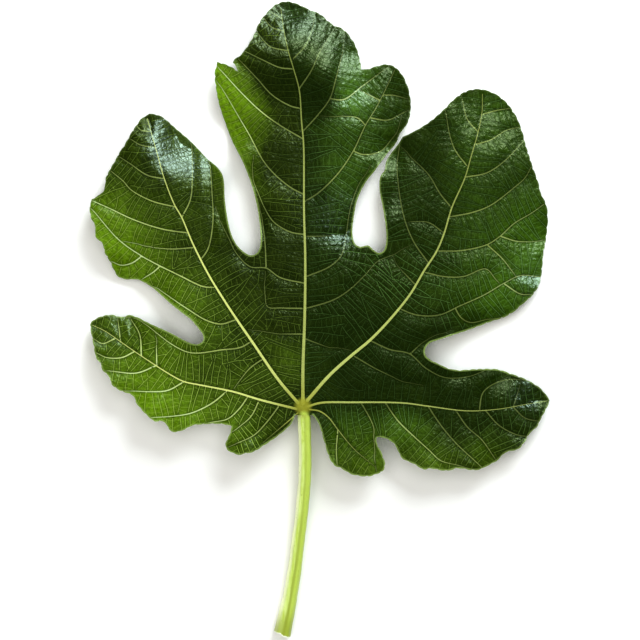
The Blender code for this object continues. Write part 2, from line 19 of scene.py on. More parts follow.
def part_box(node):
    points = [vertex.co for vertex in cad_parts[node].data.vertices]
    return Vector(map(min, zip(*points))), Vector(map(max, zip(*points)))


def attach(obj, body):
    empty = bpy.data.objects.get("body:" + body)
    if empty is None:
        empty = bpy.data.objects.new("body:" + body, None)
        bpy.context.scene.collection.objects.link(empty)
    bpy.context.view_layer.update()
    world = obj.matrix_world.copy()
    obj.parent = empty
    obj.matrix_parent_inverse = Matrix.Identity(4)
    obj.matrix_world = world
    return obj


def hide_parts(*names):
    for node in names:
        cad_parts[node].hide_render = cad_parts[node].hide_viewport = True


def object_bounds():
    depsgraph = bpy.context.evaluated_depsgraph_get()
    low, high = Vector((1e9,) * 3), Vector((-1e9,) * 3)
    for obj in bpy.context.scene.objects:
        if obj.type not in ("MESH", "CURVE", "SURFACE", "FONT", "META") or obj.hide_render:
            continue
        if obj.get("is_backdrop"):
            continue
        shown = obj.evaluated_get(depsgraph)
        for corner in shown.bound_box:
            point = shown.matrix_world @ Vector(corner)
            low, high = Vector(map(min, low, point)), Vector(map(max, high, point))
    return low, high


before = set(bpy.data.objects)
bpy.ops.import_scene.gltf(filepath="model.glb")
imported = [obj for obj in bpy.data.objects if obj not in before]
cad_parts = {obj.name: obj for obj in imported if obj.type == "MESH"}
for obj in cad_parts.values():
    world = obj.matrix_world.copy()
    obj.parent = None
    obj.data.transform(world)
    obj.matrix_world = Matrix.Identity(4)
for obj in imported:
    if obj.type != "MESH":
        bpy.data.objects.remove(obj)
cad_box = [list(corner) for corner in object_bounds()]
MM = 0.001
print("nodes of the plain model:", sorted(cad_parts))

# %% [markdown]
# ## The outline
#
# The margin of the leaf is what people know it by: five deep lobes and two small ones at the
# stalk, with round sinuses between them. It is given here as a few points for each stretch, in
# millimetres from the hub where the ribs meet, and drawn as smooth curves through them. Two
# stretches meet in a corner, which is the point of a lobe or a tooth. A curve object could hold
# the same line, but points in code can be measured, sampled and reused.

# %% The outline's points
HUB_EDGE = -3.5

MARGIN = (
    # Left basal lobe
    ((-3.2, HUB_EDGE), (-4.4, -6.6), (-7.4, -9.7), (-11, -12.6), (-15.8, -15.8), (-19.4, -18),
     (-23, -18.8), (-25.6, -19.3), (-28.4, -18.4), (-30.4, -17), (-30.9, -15), (-29, -10.5),
     (-28.4, -8)),
    # Left lower lobe, its lower margin
    ((-28.4, -8), (-30.2, -7.4), (-34, -7), (-40, -7.3), (-43.7, -7.6), (-47.4, -9.4),
     (-51, -10.4), (-53.2, -9.4), (-55.4, -6.2), (-59, -6), (-61, -4.6), (-64.6, -1), (-66.6, 1.4),
     (-67.8, 4), (-73.2, 6.3), (-76.4, 8.8), (-77.2, 11.4), (-80, 14.2), (-80.8, 16.6),
     (-82.8, 19.6), (-83.7, 24), (-84.7, 28.2), (-85.5, 32.4)),
    # Left lower lobe, its upper margin, and the round end of the sinus
    ((-85.5, 32.4), (-84.6, 34), (-80.6, 36), (-76.5, 36.5), (-73.2, 35.7), (-69.7, 36.4),
     (-67.2, 35.8), (-61.3, 33), (-53.5, 29.5), (-46.5, 25.8), (-44, 24.9), (-41.6, 24.8),
     (-39.9, 26), (-39.7, 28), (-42.4, 31.9), (-45, 34.8), (-47.8, 36.9), (-53.5, 41.4),
     (-60.9, 47.7), (-66.6, 50.6), (-71.2, 50.7), (-74.3, 51.7), (-75.8, 54), (-77.3, 57.6),
     (-79.3, 61.4), (-80, 64.6), (-83, 67.8), (-82.9, 71.4), (-84.7, 75.4), (-85.3, 79.6),
     (-84.6, 82.8)),
    # Left upper lobe from its outer tooth to its tip
    ((-84.6, 82.8), (-81, 85), (-79.5, 87), (-79, 91), (-78, 93.4), (-75.2, 98.4), (-73.8, 101.2),
     (-71.8, 104), (-67.4, 111.7), (-64.6, 115.6), (-61.8, 117.3)),
    # Left upper lobe, its right margin, the first sinus and the side of the middle lobe
    ((-61.8, 117.3), (-59.2, 117.1), (-56.2, 115.8), (-51.4, 111.7), (-44.9, 106), (-38.3, 99),
     (-35, 96.3), (-32.7, 93.4), (-31.7, 90), (-31.4, 83.4), (-30.7, 77.6), (-29.6, 72),
     (-28.2, 67.6), (-26.5, 64.5), (-24, 61.9), (-20.9, 60.2), (-18.6, 61), (-17.3, 63),
     (-16.9, 67), (-17.3, 72.6), (-18.5, 80.6), (-20.7, 88.8), (-24, 97.4), (-28.5, 106.4),
     (-31.4, 114), (-33.8, 121.4), (-35, 128), (-35.4, 133), (-34.3, 137.7)),
    # The tooth of the middle lobe and the slit above it
    ((-34.3, 137.7), (-31, 136.7), (-28.2, 135.4), (-25.9, 133.8)),
    ((-25.9, 133.8), (-27, 136), (-28.2, 137.4)),
    # Middle lobe, from the slit over its tip to the notch on its right
    ((-28.2, 137.4), (-27.2, 139), (-24.8, 140.6), (-22.7, 143.4), (-20.9, 146.2), (-19.3, 149.6),
     (-17.6, 153.8), (-14.6, 157.9), (-10.8, 161.6), (-7, 162.8), (-2.4, 161.8), (2.9, 159.2),
     (6.8, 157.6), (10, 154.9), (12.6, 153), (16, 151.7), (18.7, 148.8), (20.9, 145.4),
     (22.5, 140.8), (23.5, 135.2)),
    ((23.5, 135.2), (25.6, 135.2), (29.4, 136.4), (33.7, 137.3), (37, 136.2), (39.8, 132.9),
     (42, 128), (43.3, 121.4), (42.8, 116), (41.4, 112.4), (39, 109.4), (37.4, 105.6),
     (34.2, 101.7), (31.5, 98.1), (28.6, 94), (25.2, 89.7), (21.9, 83), (20.5, 76.6), (19.8, 69),
     (20.8, 65), (22.8, 63.7), (26, 64.2), (28.2, 62.4), (30.4, 61.2), (32.3, 62.2), (33.3, 66),
     (33, 72.2), (32, 79), (30.6, 87), (30.9, 91.6), (32.7, 94.5), (33.3, 97.8), (35.2, 101.1),
     (38.2, 105), (39.9, 107.8)),
    # Right upper lobe, down to the third sinus
    ((39.9, 107.8), (44.1, 109.8), (50.7, 113.9), (56, 118.4), (61, 123.5), (65.6, 126.5),
     (71, 127.4), (77, 125.8), (82.3, 121.7), (86, 116), (88.3, 110), (89.8, 103.6), (91.9, 96.6),
     (94.6, 89), (95.3, 85.6), (97.6, 80.8), (98.5, 75.2), (98, 67.6), (96.6, 60.6), (95.8, 52.6),
     (94.6, 48.2), (91.6, 43.8), (89, 41.6), (84.8, 37.8), (81, 35.5), (75.7, 33.8), (66.7, 30.5),
     (60, 28.4), (54, 26.4), (50.6, 25.2), (48.7, 22.6), (49, 20.2), (51, 18.4), (54, 17),
     (57.6, 15.3), (61.8, 14.4), (70, 14.8), (78.2, 14.6), (83.1, 13), (90.1, 10.3), (96, 6.3),
     (99, 2.1)),
    # Right lower lobe below its point, and the small sinus beside the basal lobe
    ((99, 2.1), (97.6, -0.8), (95.2, -5.2), (93.6, -8.4), (90.9, -10.8), (88.8, -14.2),
     (86, -17.2), (81, -18.6), (77.6, -22), (72.8, -24.4), (70.6, -25.4), (67, -25.5),
     (61.8, -24.8), (57.3, -25.8), (50.8, -24.8), (48, -25.2), (44.2, -23), (40, -21.2),
     (38.3, -19), (37.2, -16.4), (35.2, -14), (31.6, -12.4), (29.4, -12.7), (29.5, -14.6),
     (31.4, -18.6), (32.8, -23.2), (31.8, -25.8), (28.8, -27.2), (26, -28), (19.4, -27.1),
     (15.4, -24.8), (12.6, -23.6), (10.6, -20.8), (8.8, -15.4), (7.6, -11), (6.4, -7.2),
     (5.2, -5), (4, HUB_EDGE)),
)
print("stretches of the margin:", len(MARGIN))

# %% [markdown]
# The smooth line is a spline, a curve that passes through every given point. This one counts the
# gaps between points by their square roots, so it doesn't overshoot where they lie close
# together. A curve object would need handles for that, so the line is worked out here: each piece
# of it blends straight lines through four neighbours. The curve is then cut into even steps,
# because a mesh and its scallops need even spacing.

# %% A smooth line through points
TRACE_STEP = 0.4


def run_along(path):
    """Distance along a path from its start to each of its points."""
    return np.concatenate([[0.0], np.cumsum(np.linalg.norm(np.diff(path, axis=0), axis=1))])


def evenly(path, step):
    """The same path with its points about one step apart."""
    run = run_along(path)
    even = np.linspace(0.0, run[-1], max(1, round(run[-1] / step)) + 1)
    return np.column_stack([np.interp(even, run, path[:, axis]) for axis in (0, 1)])


def blended(t, start, end, first, second):
    """A straight passage from one place, at start, to another, at end."""
    return (end - t) / (end - start) * first + (t - start) / (end - start) * second


def smooth_path(points, step):
    """Points about one step apart on a smooth curve through the given points."""
    given = np.array(points, dtype=float)
    path = np.vstack([2 * given[0] - given[1], given, 2 * given[-1] - given[-2]])
    found = []
    for k in range(1, len(path) - 2):
        p0, p1, p2, p3 = path[k - 1:k + 3]
        knots = [0.0]
        for start, end in ((p0, p1), (p1, p2), (p2, p3)):
            knots.append(knots[-1] + math.sqrt(np.linalg.norm(end - start)))
        t0, t1, t2, t3 = knots
        count = max(2, math.ceil(np.linalg.norm(p2 - p1) / TRACE_STEP))
        t = np.linspace(t1, t2, count, endpoint=False)[:, None]
        a1 = blended(t, t0, t1, p0, p1)
        a2 = blended(t, t1, t2, p1, p2)
        a3 = blended(t, t2, t3, p2, p3)
        b1 = blended(t, t0, t2, a1, a2)
        b2 = blended(t, t1, t3, a2, a3)
        found.append(blended(t, t1, t2, b1, b2))
    found.append(given[-1:])
    return evenly(np.vstack(found), step)


def directions(path):
    """Unit directions along a path of points."""
    along = np.gradient(path, axis=0)
    return along / np.linalg.norm(along, axis=1)[:, None]


# %% [markdown]
# The edge of a fig leaf isn't a clean line: it is cut into small rounded scallops, one for each
# vein end, and they are strongest on the outside of the lobes and fade in the sinuses. They are
# far smaller than the outline's own points, so a formula makes them: the line is drawn in a
# little wherever a scallop ends, which keeps it inside the plain model's outline.

# %% The margin with its scallops
COARSE_STEP = 2.9
MARGIN_STEP = 0.6
SCALLOP_LENGTH = 3.7
SCALLOP_DEPTH = 0.42
BLADE_CENTRE = (0.0, 60.0)
SCALLOPS_START, SCALLOPS_FULL = 58.0, 80.0
SINUS_SHARE = 0.12
LONG_DRIFT, LONG_DRIFT_LENGTH = 0.9, 7.3
SHORT_DRIFT, SHORT_DRIFT_LENGTH = 0.6, 3.1


def smooth_step(low, high, value):
    """0 below low, 1 above high, and an even passage between them."""
    t = np.clip((value - low) / (high - low), 0.0, 1.0)
    return t * t * (3.0 - 2.0 * t)


def draw_margin():
    """The closed margin, and how far along it each point is in steps of the plain model."""
    places, phases = [], []
    passed = 0
    for stretch in MARGIN:
        line = smooth_path(stretch, MARGIN_STEP)
        coarse = len(smooth_path(stretch, COARSE_STEP)) - 1
        places.append(line[:-1])
        phases.append(passed + np.linspace(0.0, coarse, len(line))[:-1])
        passed += coarse
    places.append(np.array([MARGIN[-1][-1]], dtype=float))
    phases.append(np.array([float(passed)]))
    return np.vstack(places), np.concatenate(phases)


def scalloped(line, phases):
    """The margin drawn in between its scallops, most on the outside of the lobes."""
    along = directions(line)
    inward = np.column_stack([along[:, 1], -along[:, 0]])
    run = phases * COARSE_STEP
    run = (run + LONG_DRIFT * np.sin(run / LONG_DRIFT_LENGTH)
           + SHORT_DRIFT * np.sin(run / SHORT_DRIFT_LENGTH))
    notch = 1.0 - np.sqrt(np.abs(np.sin(math.pi * run / SCALLOP_LENGTH)))
    outer = smooth_step(SCALLOPS_START, SCALLOPS_FULL, np.hypot(*(line - BLADE_CENTRE).T))
    share = SINUS_SHARE + (1.0 - SINUS_SHARE) * outer
    return line + inward * (SCALLOP_DEPTH * notch * share)[:, None]


plain_margin, margin_phase = draw_margin()
margin = scalloped(plain_margin, margin_phase)
print("margin:", len(margin), "points,", round(float(np.ptp(margin[:, 0])), 1), "mm wide")

# %% [markdown]
# ## The frame of ribs
#
# Five strong ribs and two weak ones spread from the hub, one into each lobe. Side veins leave
# them and run to the margin, where they bend and join. They are as much a part of this leaf's
# look as its outline, so each one is listed, from the rib it leaves to its far end.

# %% The main ribs
# Each main rib has its width at the hub, its height under the leaf there, and its course.
MAIN_RIBS = {
    "midrib": (2.0, 3.0, ((0, 1), (0, 15), (0.7, 36), (0.9, 58.5), (0.4, 77.6), (0.2, 105),
                          (-0.6, 114), (-1.5, 126.4), (-3.9, 135.2), (-5.9, 142), (-7.8, 151.2),
                          (-9, 160))),
    "left_upper": (1.8, 2.6, ((-2, 1.4), (-9.8, 10.6), (-20.1, 25.5), (-26.8, 35.2), (-31.8, 42.8),
                              (-37.9, 52.8), (-44.1, 65), (-48.6, 75.6), (-51.4, 80.5),
                              (-55.4, 90.8), (-58.4, 101.2), (-61.6, 112), (-62.6, 115.4))),
    "right_upper": (2.0, 2.8, ((1.8, 2.4), (10.6, 12.4), (18.8, 19.8), (27, 26.6), (35.4, 35.4),
                               (42.9, 44.8), (48.6, 54.4), (53.4, 61.8), (56.4, 68.8),
                               (59.7, 79.6), (64.8, 91.2), (67.5, 100.4), (69.8, 108),
                               (72, 118), (72.2, 125.4))),
    "left_lower": (1.4, 2.2, ((-2.6, -1), (-17, 2.6), (-27.7, 5.8), (-41.2, 8.5), (-47.4, 9.8),
                              (-52.3, 12.2), (-64.6, 20), (-72, 25), (-79.4, 30),
                              (-84.4, 32.3))),
    "right_lower": (1.3, 2.0, ((2, 0), (7.1, 1.4), (19.4, 1.6), (39.9, 1.3), (49.9, 0),
                               (65.5, -1.9), (78.2, -1.2), (90.1, 0.8), (98, 2))),
    "left_basal": (0.8, 1.2, ((-2, -2.6), (-8.8, -8.4), (-16.4, -14.8))),
    "right_basal": (0.9, 1.2, ((2.4, -1.2), (6.6, -1.9), (10.1, -4.3), (14.1, -9.5),
                               (20.2, -16.8), (28.6, -24))),
}
print("main ribs:", ", ".join(MAIN_RIBS))

# %% [markdown]
# A side vein is a short list of points as well. It starts on its rib and ends near the margin or
# on its neighbour, and its bend says much about the leaf: the veins of a fig arch forwards. They
# are listed lobe by lobe, from the tip down.

# %% The side veins
SIDE_VEINS = (
    # Left upper lobe, outer side from the tip down
    ((-61.6, 110), (-65, 110.5), (-66.8, 112.4)),
    ((-59.2, 103.4), (-65, 104.4), (-68.4, 106.4)),
    ((-55.4, 90.8), (-62.1, 92.2), (-68.7, 96.6), (-73, 99.4)),
    ((-51.2, 79.6), (-60.5, 82), (-68.7, 86.4), (-72, 90), (-76.6, 93.8)),
    ((-46, 69.2), (-56.4, 70.8), (-67.9, 74.6), (-77.7, 79.2), (-83.6, 81.8)),
    ((-43.4, 63.4), (-52.4, 62.8), (-58.4, 63.2)),
    ((-34.8, 47.4), (-40, 47.8), (-49.4, 52.2), (-57.2, 56), (-64.6, 60), (-73.6, 66.4),
     (-83.2, 77.4)),
    ((-64.6, 60), (-68.8, 57.2), (-73.2, 56.4), (-76.2, 57.6)),
    ((-57.2, 56), (-60, 53.6), (-63.6, 51.4)),
    ((-26.6, 34.6), (-32.6, 32.8), (-38.4, 34.2), (-46.1, 38.8), (-56.8, 46)),
    # Left upper lobe, inner side
    ((-48.4, 75.6), (-45.1, 82.6), (-44.4, 91.2), (-44.8, 103)),
    ((-40.8, 58.6), (-38, 62.9), (-36.1, 73.2), (-36.5, 85.6), (-37.2, 95)),
    # Between the left lobes and under the first sinus
    ((-20.4, 26), (-24.8, 23.5), (-33, 22.4), (-42, 21.2), (-46.4, 21.7), (-52.3, 24.6),
     (-61.5, 31.6)),
    ((-15.8, 19), (-21.1, 15.2), (-25.4, 10)),
    ((0.9, 49), (-9.2, 51.4), (-14.7, 55.1), (-21.1, 55.7), (-26.8, 61.3), (-29.6, 67)),
    ((-14.7, 55.1), (-15.2, 65.4), (-16.4, 75)),
    # Middle lobe, left side from the tip down
    ((-8.8, 155.6), (-12.6, 158)),
    ((-7.7, 150.2), (-12.5, 151.8), (-16, 156)),
    ((-5.9, 142), (-13.3, 143.9), (-18.6, 150)),
    ((-4.2, 134.8), (-9.2, 135.3), (-16.6, 138.6), (-23, 141.8)),
    ((-1.2, 119.2), (-5.1, 120.2), (-12.5, 124.6), (-18.2, 130.8), (-24, 137)),
    ((0, 107), (-9.2, 112.4), (-17, 118.1), (-24.8, 125.5), (-32.6, 134)),
    ((0.4, 84.6), (-4.7, 87.3), (-10.8, 92.2), (-15.8, 98), (-21.5, 108.6), (-25.6, 115.6),
     (-31, 124.8)),
    ((0.8, 68.6), (-5.1, 69.6), (-11.7, 73.6), (-15.2, 78.9), (-18.6, 86.8)),
    ((0.9, 39), (-8.4, 39.2), (-14.1, 39.7), (-15.2, 45)),
    ((0.7, 28.8), (-9.2, 28.8)),
    # Middle lobe, right side from the tip down
    ((-3.9, 138.8), (1, 144.4), (3.9, 152.2), (4.6, 157)),
    ((-1.4, 127.1), (3.3, 134.1), (6.8, 141.9), (11, 149)),
    ((0.2, 110.3), (5.8, 116.4), (10.7, 123), (13.2, 131.2), (15.4, 140)),
    ((10.8, 123), (16.4, 122.8), (23.4, 128), (31, 133.8)),
    ((0.6, 81.8), (6.4, 85.5), (14.2, 93.3), (20.3, 102.4), (25, 112.4), (29.2, 119.3),
     (32.8, 126.3), (36.8, 134.8)),
    ((20.2, 102), (24.3, 100.7), (30.9, 102), (36.4, 108)),
    ((27.1, 115.4), (34.1, 114.6), (40.4, 117.7)),
    ((32.4, 124.6), (36, 124.6), (41, 123.4)),
    ((25, 112.6), (21.8, 115.4), (16.4, 116)),
    ((30.8, 122.6), (25, 125.5)),
    ((0.9, 67.8), (10.4, 68)),
    ((1, 51.6), (10.9, 55.9), (15.4, 60.4), (17, 67), (18.9, 79), (20.6, 84.4)),
    ((0.9, 38.9), (12.1, 42.4), (18.5, 46.4), (24.8, 52.4), (29.8, 57.8), (34.7, 60)),
    ((0.6, 27), (9.2, 23.8)),
    # Right upper lobe, inner side
    ((50.2, 57.2), (44.4, 65.5), (40.8, 74.1), (38.7, 84.4), (37.7, 96), (38.6, 103.4)),
    ((56.4, 69.2), (50.3, 73.4), (44, 73.8)),
    ((59.6, 79.2), (54.8, 85.2), (50.3, 92.6), (43.3, 99.6)),
    ((65.8, 96), (61, 102.4), (58.9, 108.2), (57.4, 116.8)),
    ((70.2, 110), (65.9, 115.2), (64.2, 122.4)),
    ((44.8, 48.6), (39.2, 54.5)),
    # Right upper lobe, outer side
    ((38.6, 38.9), (45.4, 36.4), (54.4, 36.4), (62.6, 40), (72.4, 44.4), (81, 49.4), (87.2, 52.2),
     (94.8, 51.8)),
    ((60.8, 39), (63.4, 35.2), (67.1, 33.4), (73.6, 34.6)),
    ((80.4, 49), (87.2, 44.8), (91, 44.6)),
    ((48.9, 53.4), (56.8, 51.7), (64.2, 51.8), (73.2, 54.8), (77, 50.8)),
    ((54, 62), (63.4, 62.2), (73.7, 64.6), (79, 68), (84.8, 73.2), (91.7, 77.3), (96.6, 80.8)),
    ((73.7, 64.6), (79.8, 59), (84.3, 53.3)),
    ((79, 68), (85.6, 66), (91, 65.8)),
    ((58.6, 75.7), (67.5, 77.4), (74.9, 80.2), (84.3, 87.2), (89.2, 91.6), (91.4, 95.6)),
    ((64.9, 91.6), (73.7, 93.4), (80.6, 98), (88.4, 106)),
    ((69.2, 104.8), (75.7, 106.9), (81.5, 110.6), (87, 112)),
    ((71.7, 117), (77.8, 118.8), (83, 119.6)),
    ((27.2, 26), (34.7, 22.6), (42.5, 20.9), (49, 15.2), (56.8, 11.4), (66.3, 11.8), (71, 13.4)),
    ((42.9, 21), (46.6, 24.4)),
    ((20.4, 20), (28.6, 15.2), (34.7, 12.2)),
    # Right lower lobe
    ((23.1, 1.6), (27.2, -5.8), (28.3, -9), (28.2, -12)),
    ((32.8, 1.4), (37.9, -5.8), (44, -11.8), (50.4, -17.6), (54.8, -21.6), (62, -23.6)),
    ((49.9, 0), (55.2, -7.8), (61, -14.7), (67.5, -20.8), (71.4, -24.4)),
    ((60.8, -1.4), (65.9, -8.6), (71.2, -13.2), (76.4, -20.4)),
    ((72.8, -1.6), (78.2, -7.6), (85.2, -11.4), (89.4, -12.2)),
    ((84, -0.4), (88.8, -4.8), (94.2, -6.1)),
    ((70.4, -1.8), (72, 5.4), (77, 9.1), (83.1, 10.6), (88, 10.4)),
    ((84.1, -0.4), (86, 5.4)),
    # Left lower lobe
    ((-9.2, 0.6), (-14.5, -6.4), (-19.4, -11.4), (-27, -15)),
    ((-21.7, 4.2), (-25.4, -1), (-30, -5), (-36.4, -6.4)),
    ((-17.2, 2.9), (-20.7, -4), (-26.4, -9)),
    ((-29.9, 6.4), (-36.3, 1.2), (-44.5, -2.7), (-52.4, -4), (-59.4, -4.4)),
    ((-47.4, 9.8), (-54, 6.3), (-61.3, 5.8), (-67.4, 6)),
    ((-58.6, 16.2), (-66.6, 13.2), (-76.8, 14)),
    ((-67.4, 21.8), (-72.4, 19.4), (-78.5, 19.4), (-82.4, 21.2)),
    ((-75.2, 27), (-80.2, 25), (-83.6, 26.8)),
    ((-58.4, 16.4), (-58.6, 23.7)),
    ((-64.6, 20), (-65.4, 28.6), (-69, 34.6)),
    ((-73, 25.7), (-74.2, 34)),
    # Right basal lobe
    ((13.9, -9.4), (13.3, -17.6), (13.6, -22.8)),
)
print("side veins:", len(SIDE_VEINS))

# %% [markdown]
# ## Where inside ends and how near things are
#
# Two helpers answer most questions about a flat shape. A search tree gives the nearest of many
# points quickly, and so the distance to a vein or to the margin. A chart, a fine grid laid over
# the leaf, says for every spot whether it is on the leaf and which vein already runs there.

# %% Search trees
def tree_of(points):
    """A search tree over plan points."""
    tree = kdtree.KDTree(len(points))
    for index, (x, y) in enumerate(points):
        tree.insert((x, y, 0.0), index)
    tree.balance()
    return tree


def nearest(tree, points):
    """Index of and distance to the nearest point of a tree, for every plan point."""
    hits = [tree.find((x, y, 0.0)) for x, y in points]
    return np.array([hit[1] for hit in hits]), np.array([hit[2] for hit in hits])


# %% The chart
CHART_STEP = 0.25
CHART_BORDER = 2.0
OUTSIDE = -1
# Rows lie a hair above round numbers, so that no row runs through a point of the margin
OFF_THE_POINTS = 1e-6


def empty_chart(outline, border):
    """A grid over the leaf: 0 on it, OUTSIDE elsewhere."""
    low = outline.min(axis=0) - border
    size = np.ceil((outline.max(axis=0) + border - low) / CHART_STEP).astype(int) + 1
    chart = np.full((size[1], size[0]), OUTSIDE, dtype=int)
    ends = np.roll(outline, -1, axis=0)
    for row in range(size[1]):
        y = low[1] + row * CHART_STEP + OFF_THE_POINTS
        spans = (outline[:, 1] > y) != (ends[:, 1] > y)
        start, end = outline[spans], ends[spans]
        slope = (end[:, 0] - start[:, 0]) / (end[:, 1] - start[:, 1])
        crossings = np.sort(start[:, 0] + (y - start[:, 1]) * slope)
        for left, right in zip(crossings[::2], crossings[1::2]):
            first = math.ceil((left - low[0]) / CHART_STEP)
            last = math.floor((right - low[0]) / CHART_STEP)
            chart[row, first:last + 1] = 0
    return chart, low


chart, chart_low = empty_chart(margin, CHART_BORDER)
blade_area = np.count_nonzero(chart == 0) * CHART_STEP ** 2
print("area of the blade:", round(blade_area), "square mm")


def on_chart(points):
    """Rows and columns of plan points on the chart."""
    cells = np.rint((np.atleast_2d(points) - chart_low) / CHART_STEP).astype(int)
    return cells[:, 1], cells[:, 0]


def inside(points):
    """True for the plan points on the leaf."""
    rows, columns = on_chart(points)
    return chart[rows, columns] != OUTSIDE


# %% [markdown]
# ## The net of small veins
#
# Between the side veins the real leaf has a ladder of cross veins, and between those a finer
# net. Nobody would place three thousand of them by hand. They are grown instead: at even steps
# along each vein a shoot starts at a right angle, walks in short steps with a slight wander, and
# stops where it meets another vein or the margin. The same walk, started again from the shoots,
# gives the finer net. A seed keeps the result the same every time.

# %% Read and mark the chart
def occupy(path, number):
    """Marks a vein on the chart, three cells wide."""
    rows, columns = on_chart(path)
    for down in (-1, 0, 1):
        for across in (-1, 0, 1):
            spots = (rows + down, columns + across)
            free = chart[spots] == 0
            chart[spots[0][free], spots[1][free]] = number


def owner_at(x, y):
    """Number of the vein at a place, 0 where there is none, OUTSIDE off the leaf."""
    row = round((y - chart_low[1]) / CHART_STEP)
    column = round((x - chart_low[0]) / CHART_STEP)
    return chart[row, column]


# %% [markdown]
# A shoot feels its way like a root. At each step it turns by a small chance amount and then looks
# at the chart: off the leaf it dies, and on another vein it joins and ends. Before it starts, a
# fan of spots ahead of it must be free, or else the rungs of the ladder would crowd.

# %% One shoot
SEED = 11
WALK_STEP = 0.4
CLEAR_STEPS = 5
LOOK_AHEAD = (1.0, 1.6)
dice = random.Random(SEED)


def walk(x, y, heading, parent, longest, wander):
    """A shoot from a place until it meets another vein or the margin."""
    path = [(x, y)]
    for step in range(int(longest / WALK_STEP)):
        heading += dice.gauss(0.0, wander)
        x += WALK_STEP * math.cos(heading)
        y += WALK_STEP * math.sin(heading)
        owner = owner_at(x, y)
        if owner == OUTSIDE:
            break
        path.append((x, y))
        if owner > 0 and (owner != parent or step > CLEAR_STEPS):
            break
    return path


def has_room(x, y, heading, parent, gap):
    """True if no other vein leaves or ends beside the place where a shoot would start."""
    for ahead in LOOK_AHEAD:
        for aside in (-gap, -0.5 * gap, 0.0, 0.5 * gap, gap):
            spot_x = x + ahead * math.cos(heading) - aside * math.sin(heading)
            spot_y = y + ahead * math.sin(heading) + aside * math.cos(heading)
            if owner_at(spot_x, spot_y) not in (0, parent):
                return False
    return True


# %% Shoots along many veins
FIRST_PLACE = (0.4, 0.9)
LEAN = (0.02, 0.22)
PITCH_SPREAD = (0.8, 1.2)
END_MARGIN = 0.5


def grow(veins, numbers, first_number, pitch, longest, wander, gap, shortest):
    """Shoots from both sides of every vein given; returns their paths."""
    grown = []
    for vein, number in zip(veins, numbers):
        ahead = directions(vein)
        run = run_along(vein)
        for side in (-1, 1):
            place = pitch(0.0) * dice.uniform(*FIRST_PLACE)
            while place < run[-1] - END_MARGIN:
                k = int(np.searchsorted(run, place))
                x, y = vein[k]
                heading = math.atan2(ahead[k][1], ahead[k][0]) + side * math.pi / 2
                heading -= side * dice.uniform(*LEAN)
                place += pitch(math.hypot(x, y)) * dice.uniform(*PITCH_SPREAD)
                if not has_room(x, y, heading, number, gap):
                    continue
                path = walk(x, y, heading, number, longest, wander)
                if len(path) * WALK_STEP < shortest:
                    continue
                path = np.array(path)
                occupy(path[2:], first_number + len(grown))
                grown.append(path)
    return grown


# %% [markdown]
# The strong veins go on the chart first. Each side vein then gets a thin tail that finds its own
# way to the margin or to its neighbour, as the ends of real veins do. After that come the rungs,
# closer together near the hub, and from the rungs the links of the finest net.

# %% Grow the net
RUNG_PITCH = 2.5
RUNG_PITCH_AT_HUB = 1.9
EVEN_PITCH_FROM = 45.0
LINK_PITCH = 2.3
FIRST_RUNG = 1000
FIRST_LINK = 10000


def rung_pitch(from_hub):
    """Cross veins stand closer near the hub."""
    grown = min(1.0, from_hub / EVEN_PITCH_FROM)
    return RUNG_PITCH_AT_HUB + (RUNG_PITCH - RUNG_PITCH_AT_HUB) * grown


def link_pitch(from_hub):
    """The finer net is even."""
    return LINK_PITCH


main_lines = [smooth_path(course, TRACE_STEP) for _, _, course in MAIN_RIBS.values()]
side_lines = [smooth_path(course, TRACE_STEP) for course in SIDE_VEINS]
side_lines = [line[inside(line)] for line in side_lines]
strong = main_lines + side_lines
for number, line in enumerate(strong, start=1):
    occupy(line, number)
ends = []
for number, line in enumerate(side_lines, start=len(main_lines) + 1):
    ahead = line[-1] - line[-4]
    tail = walk(*line[-1], math.atan2(ahead[1], ahead[0]), number, longest=14.0, wander=0.06)
    ends.append(np.array(tail))
    occupy(ends[-1], number)
rungs = grow(strong, range(1, len(strong) + 1), FIRST_RUNG, rung_pitch,
             longest=16.0, wander=0.03, gap=0.9, shortest=1.6)
links = grow(rungs, range(FIRST_RUNG, FIRST_RUNG + len(rungs)), FIRST_LINK, link_pitch,
             longest=5.0, wander=0.06, gap=0.7, shortest=1.0)
print("cross veins:", len(rungs), " finer links:", len(links))

# %% [markdown]
# ## The height of both faces
#
# The leaf isn't flat. It stands highest at the hub, because the stalk's end holds it up, and
# falls towards the lobes, which roll and swell. Every main rib lies at the bottom of a wide
# shallow fold and in a groove of its own, and the skin between the veins is puffed up. Each of
# these is one term of a sum, with a size that can be read and changed. A sculpt would do too, but
# a term can be set to zero to see what it gives. These large terms are the plain model's own.

# %% Terms of the height
HUB_TOP = 13.0
OUTER_TOP = 5.2
DROOP_RADIUS = 78.0
MAIN_GROOVE = 0.35
SIDE_GROOVE = 0.22
GROOVE_REACH = 1.1
RIB_FOLD = 0.14
FOLD_REACH = 6.0
PUFF_HEIGHT = 0.5
PUFF_REACH = 3.4
SIDE_RIB = 0.9
SIDE_RIB_REACH = 1.1
RIB_FOOT = 1.7
MARGIN_RIPPLE = 0.7
RIPPLE_LENGTH = 19.0
RIPPLE_REACH = 6.0
HUB_RADIUS = 3.6
HUB_DEPTH = 4.6
HUB_KNOB = 0.5
SKIN = 0.6

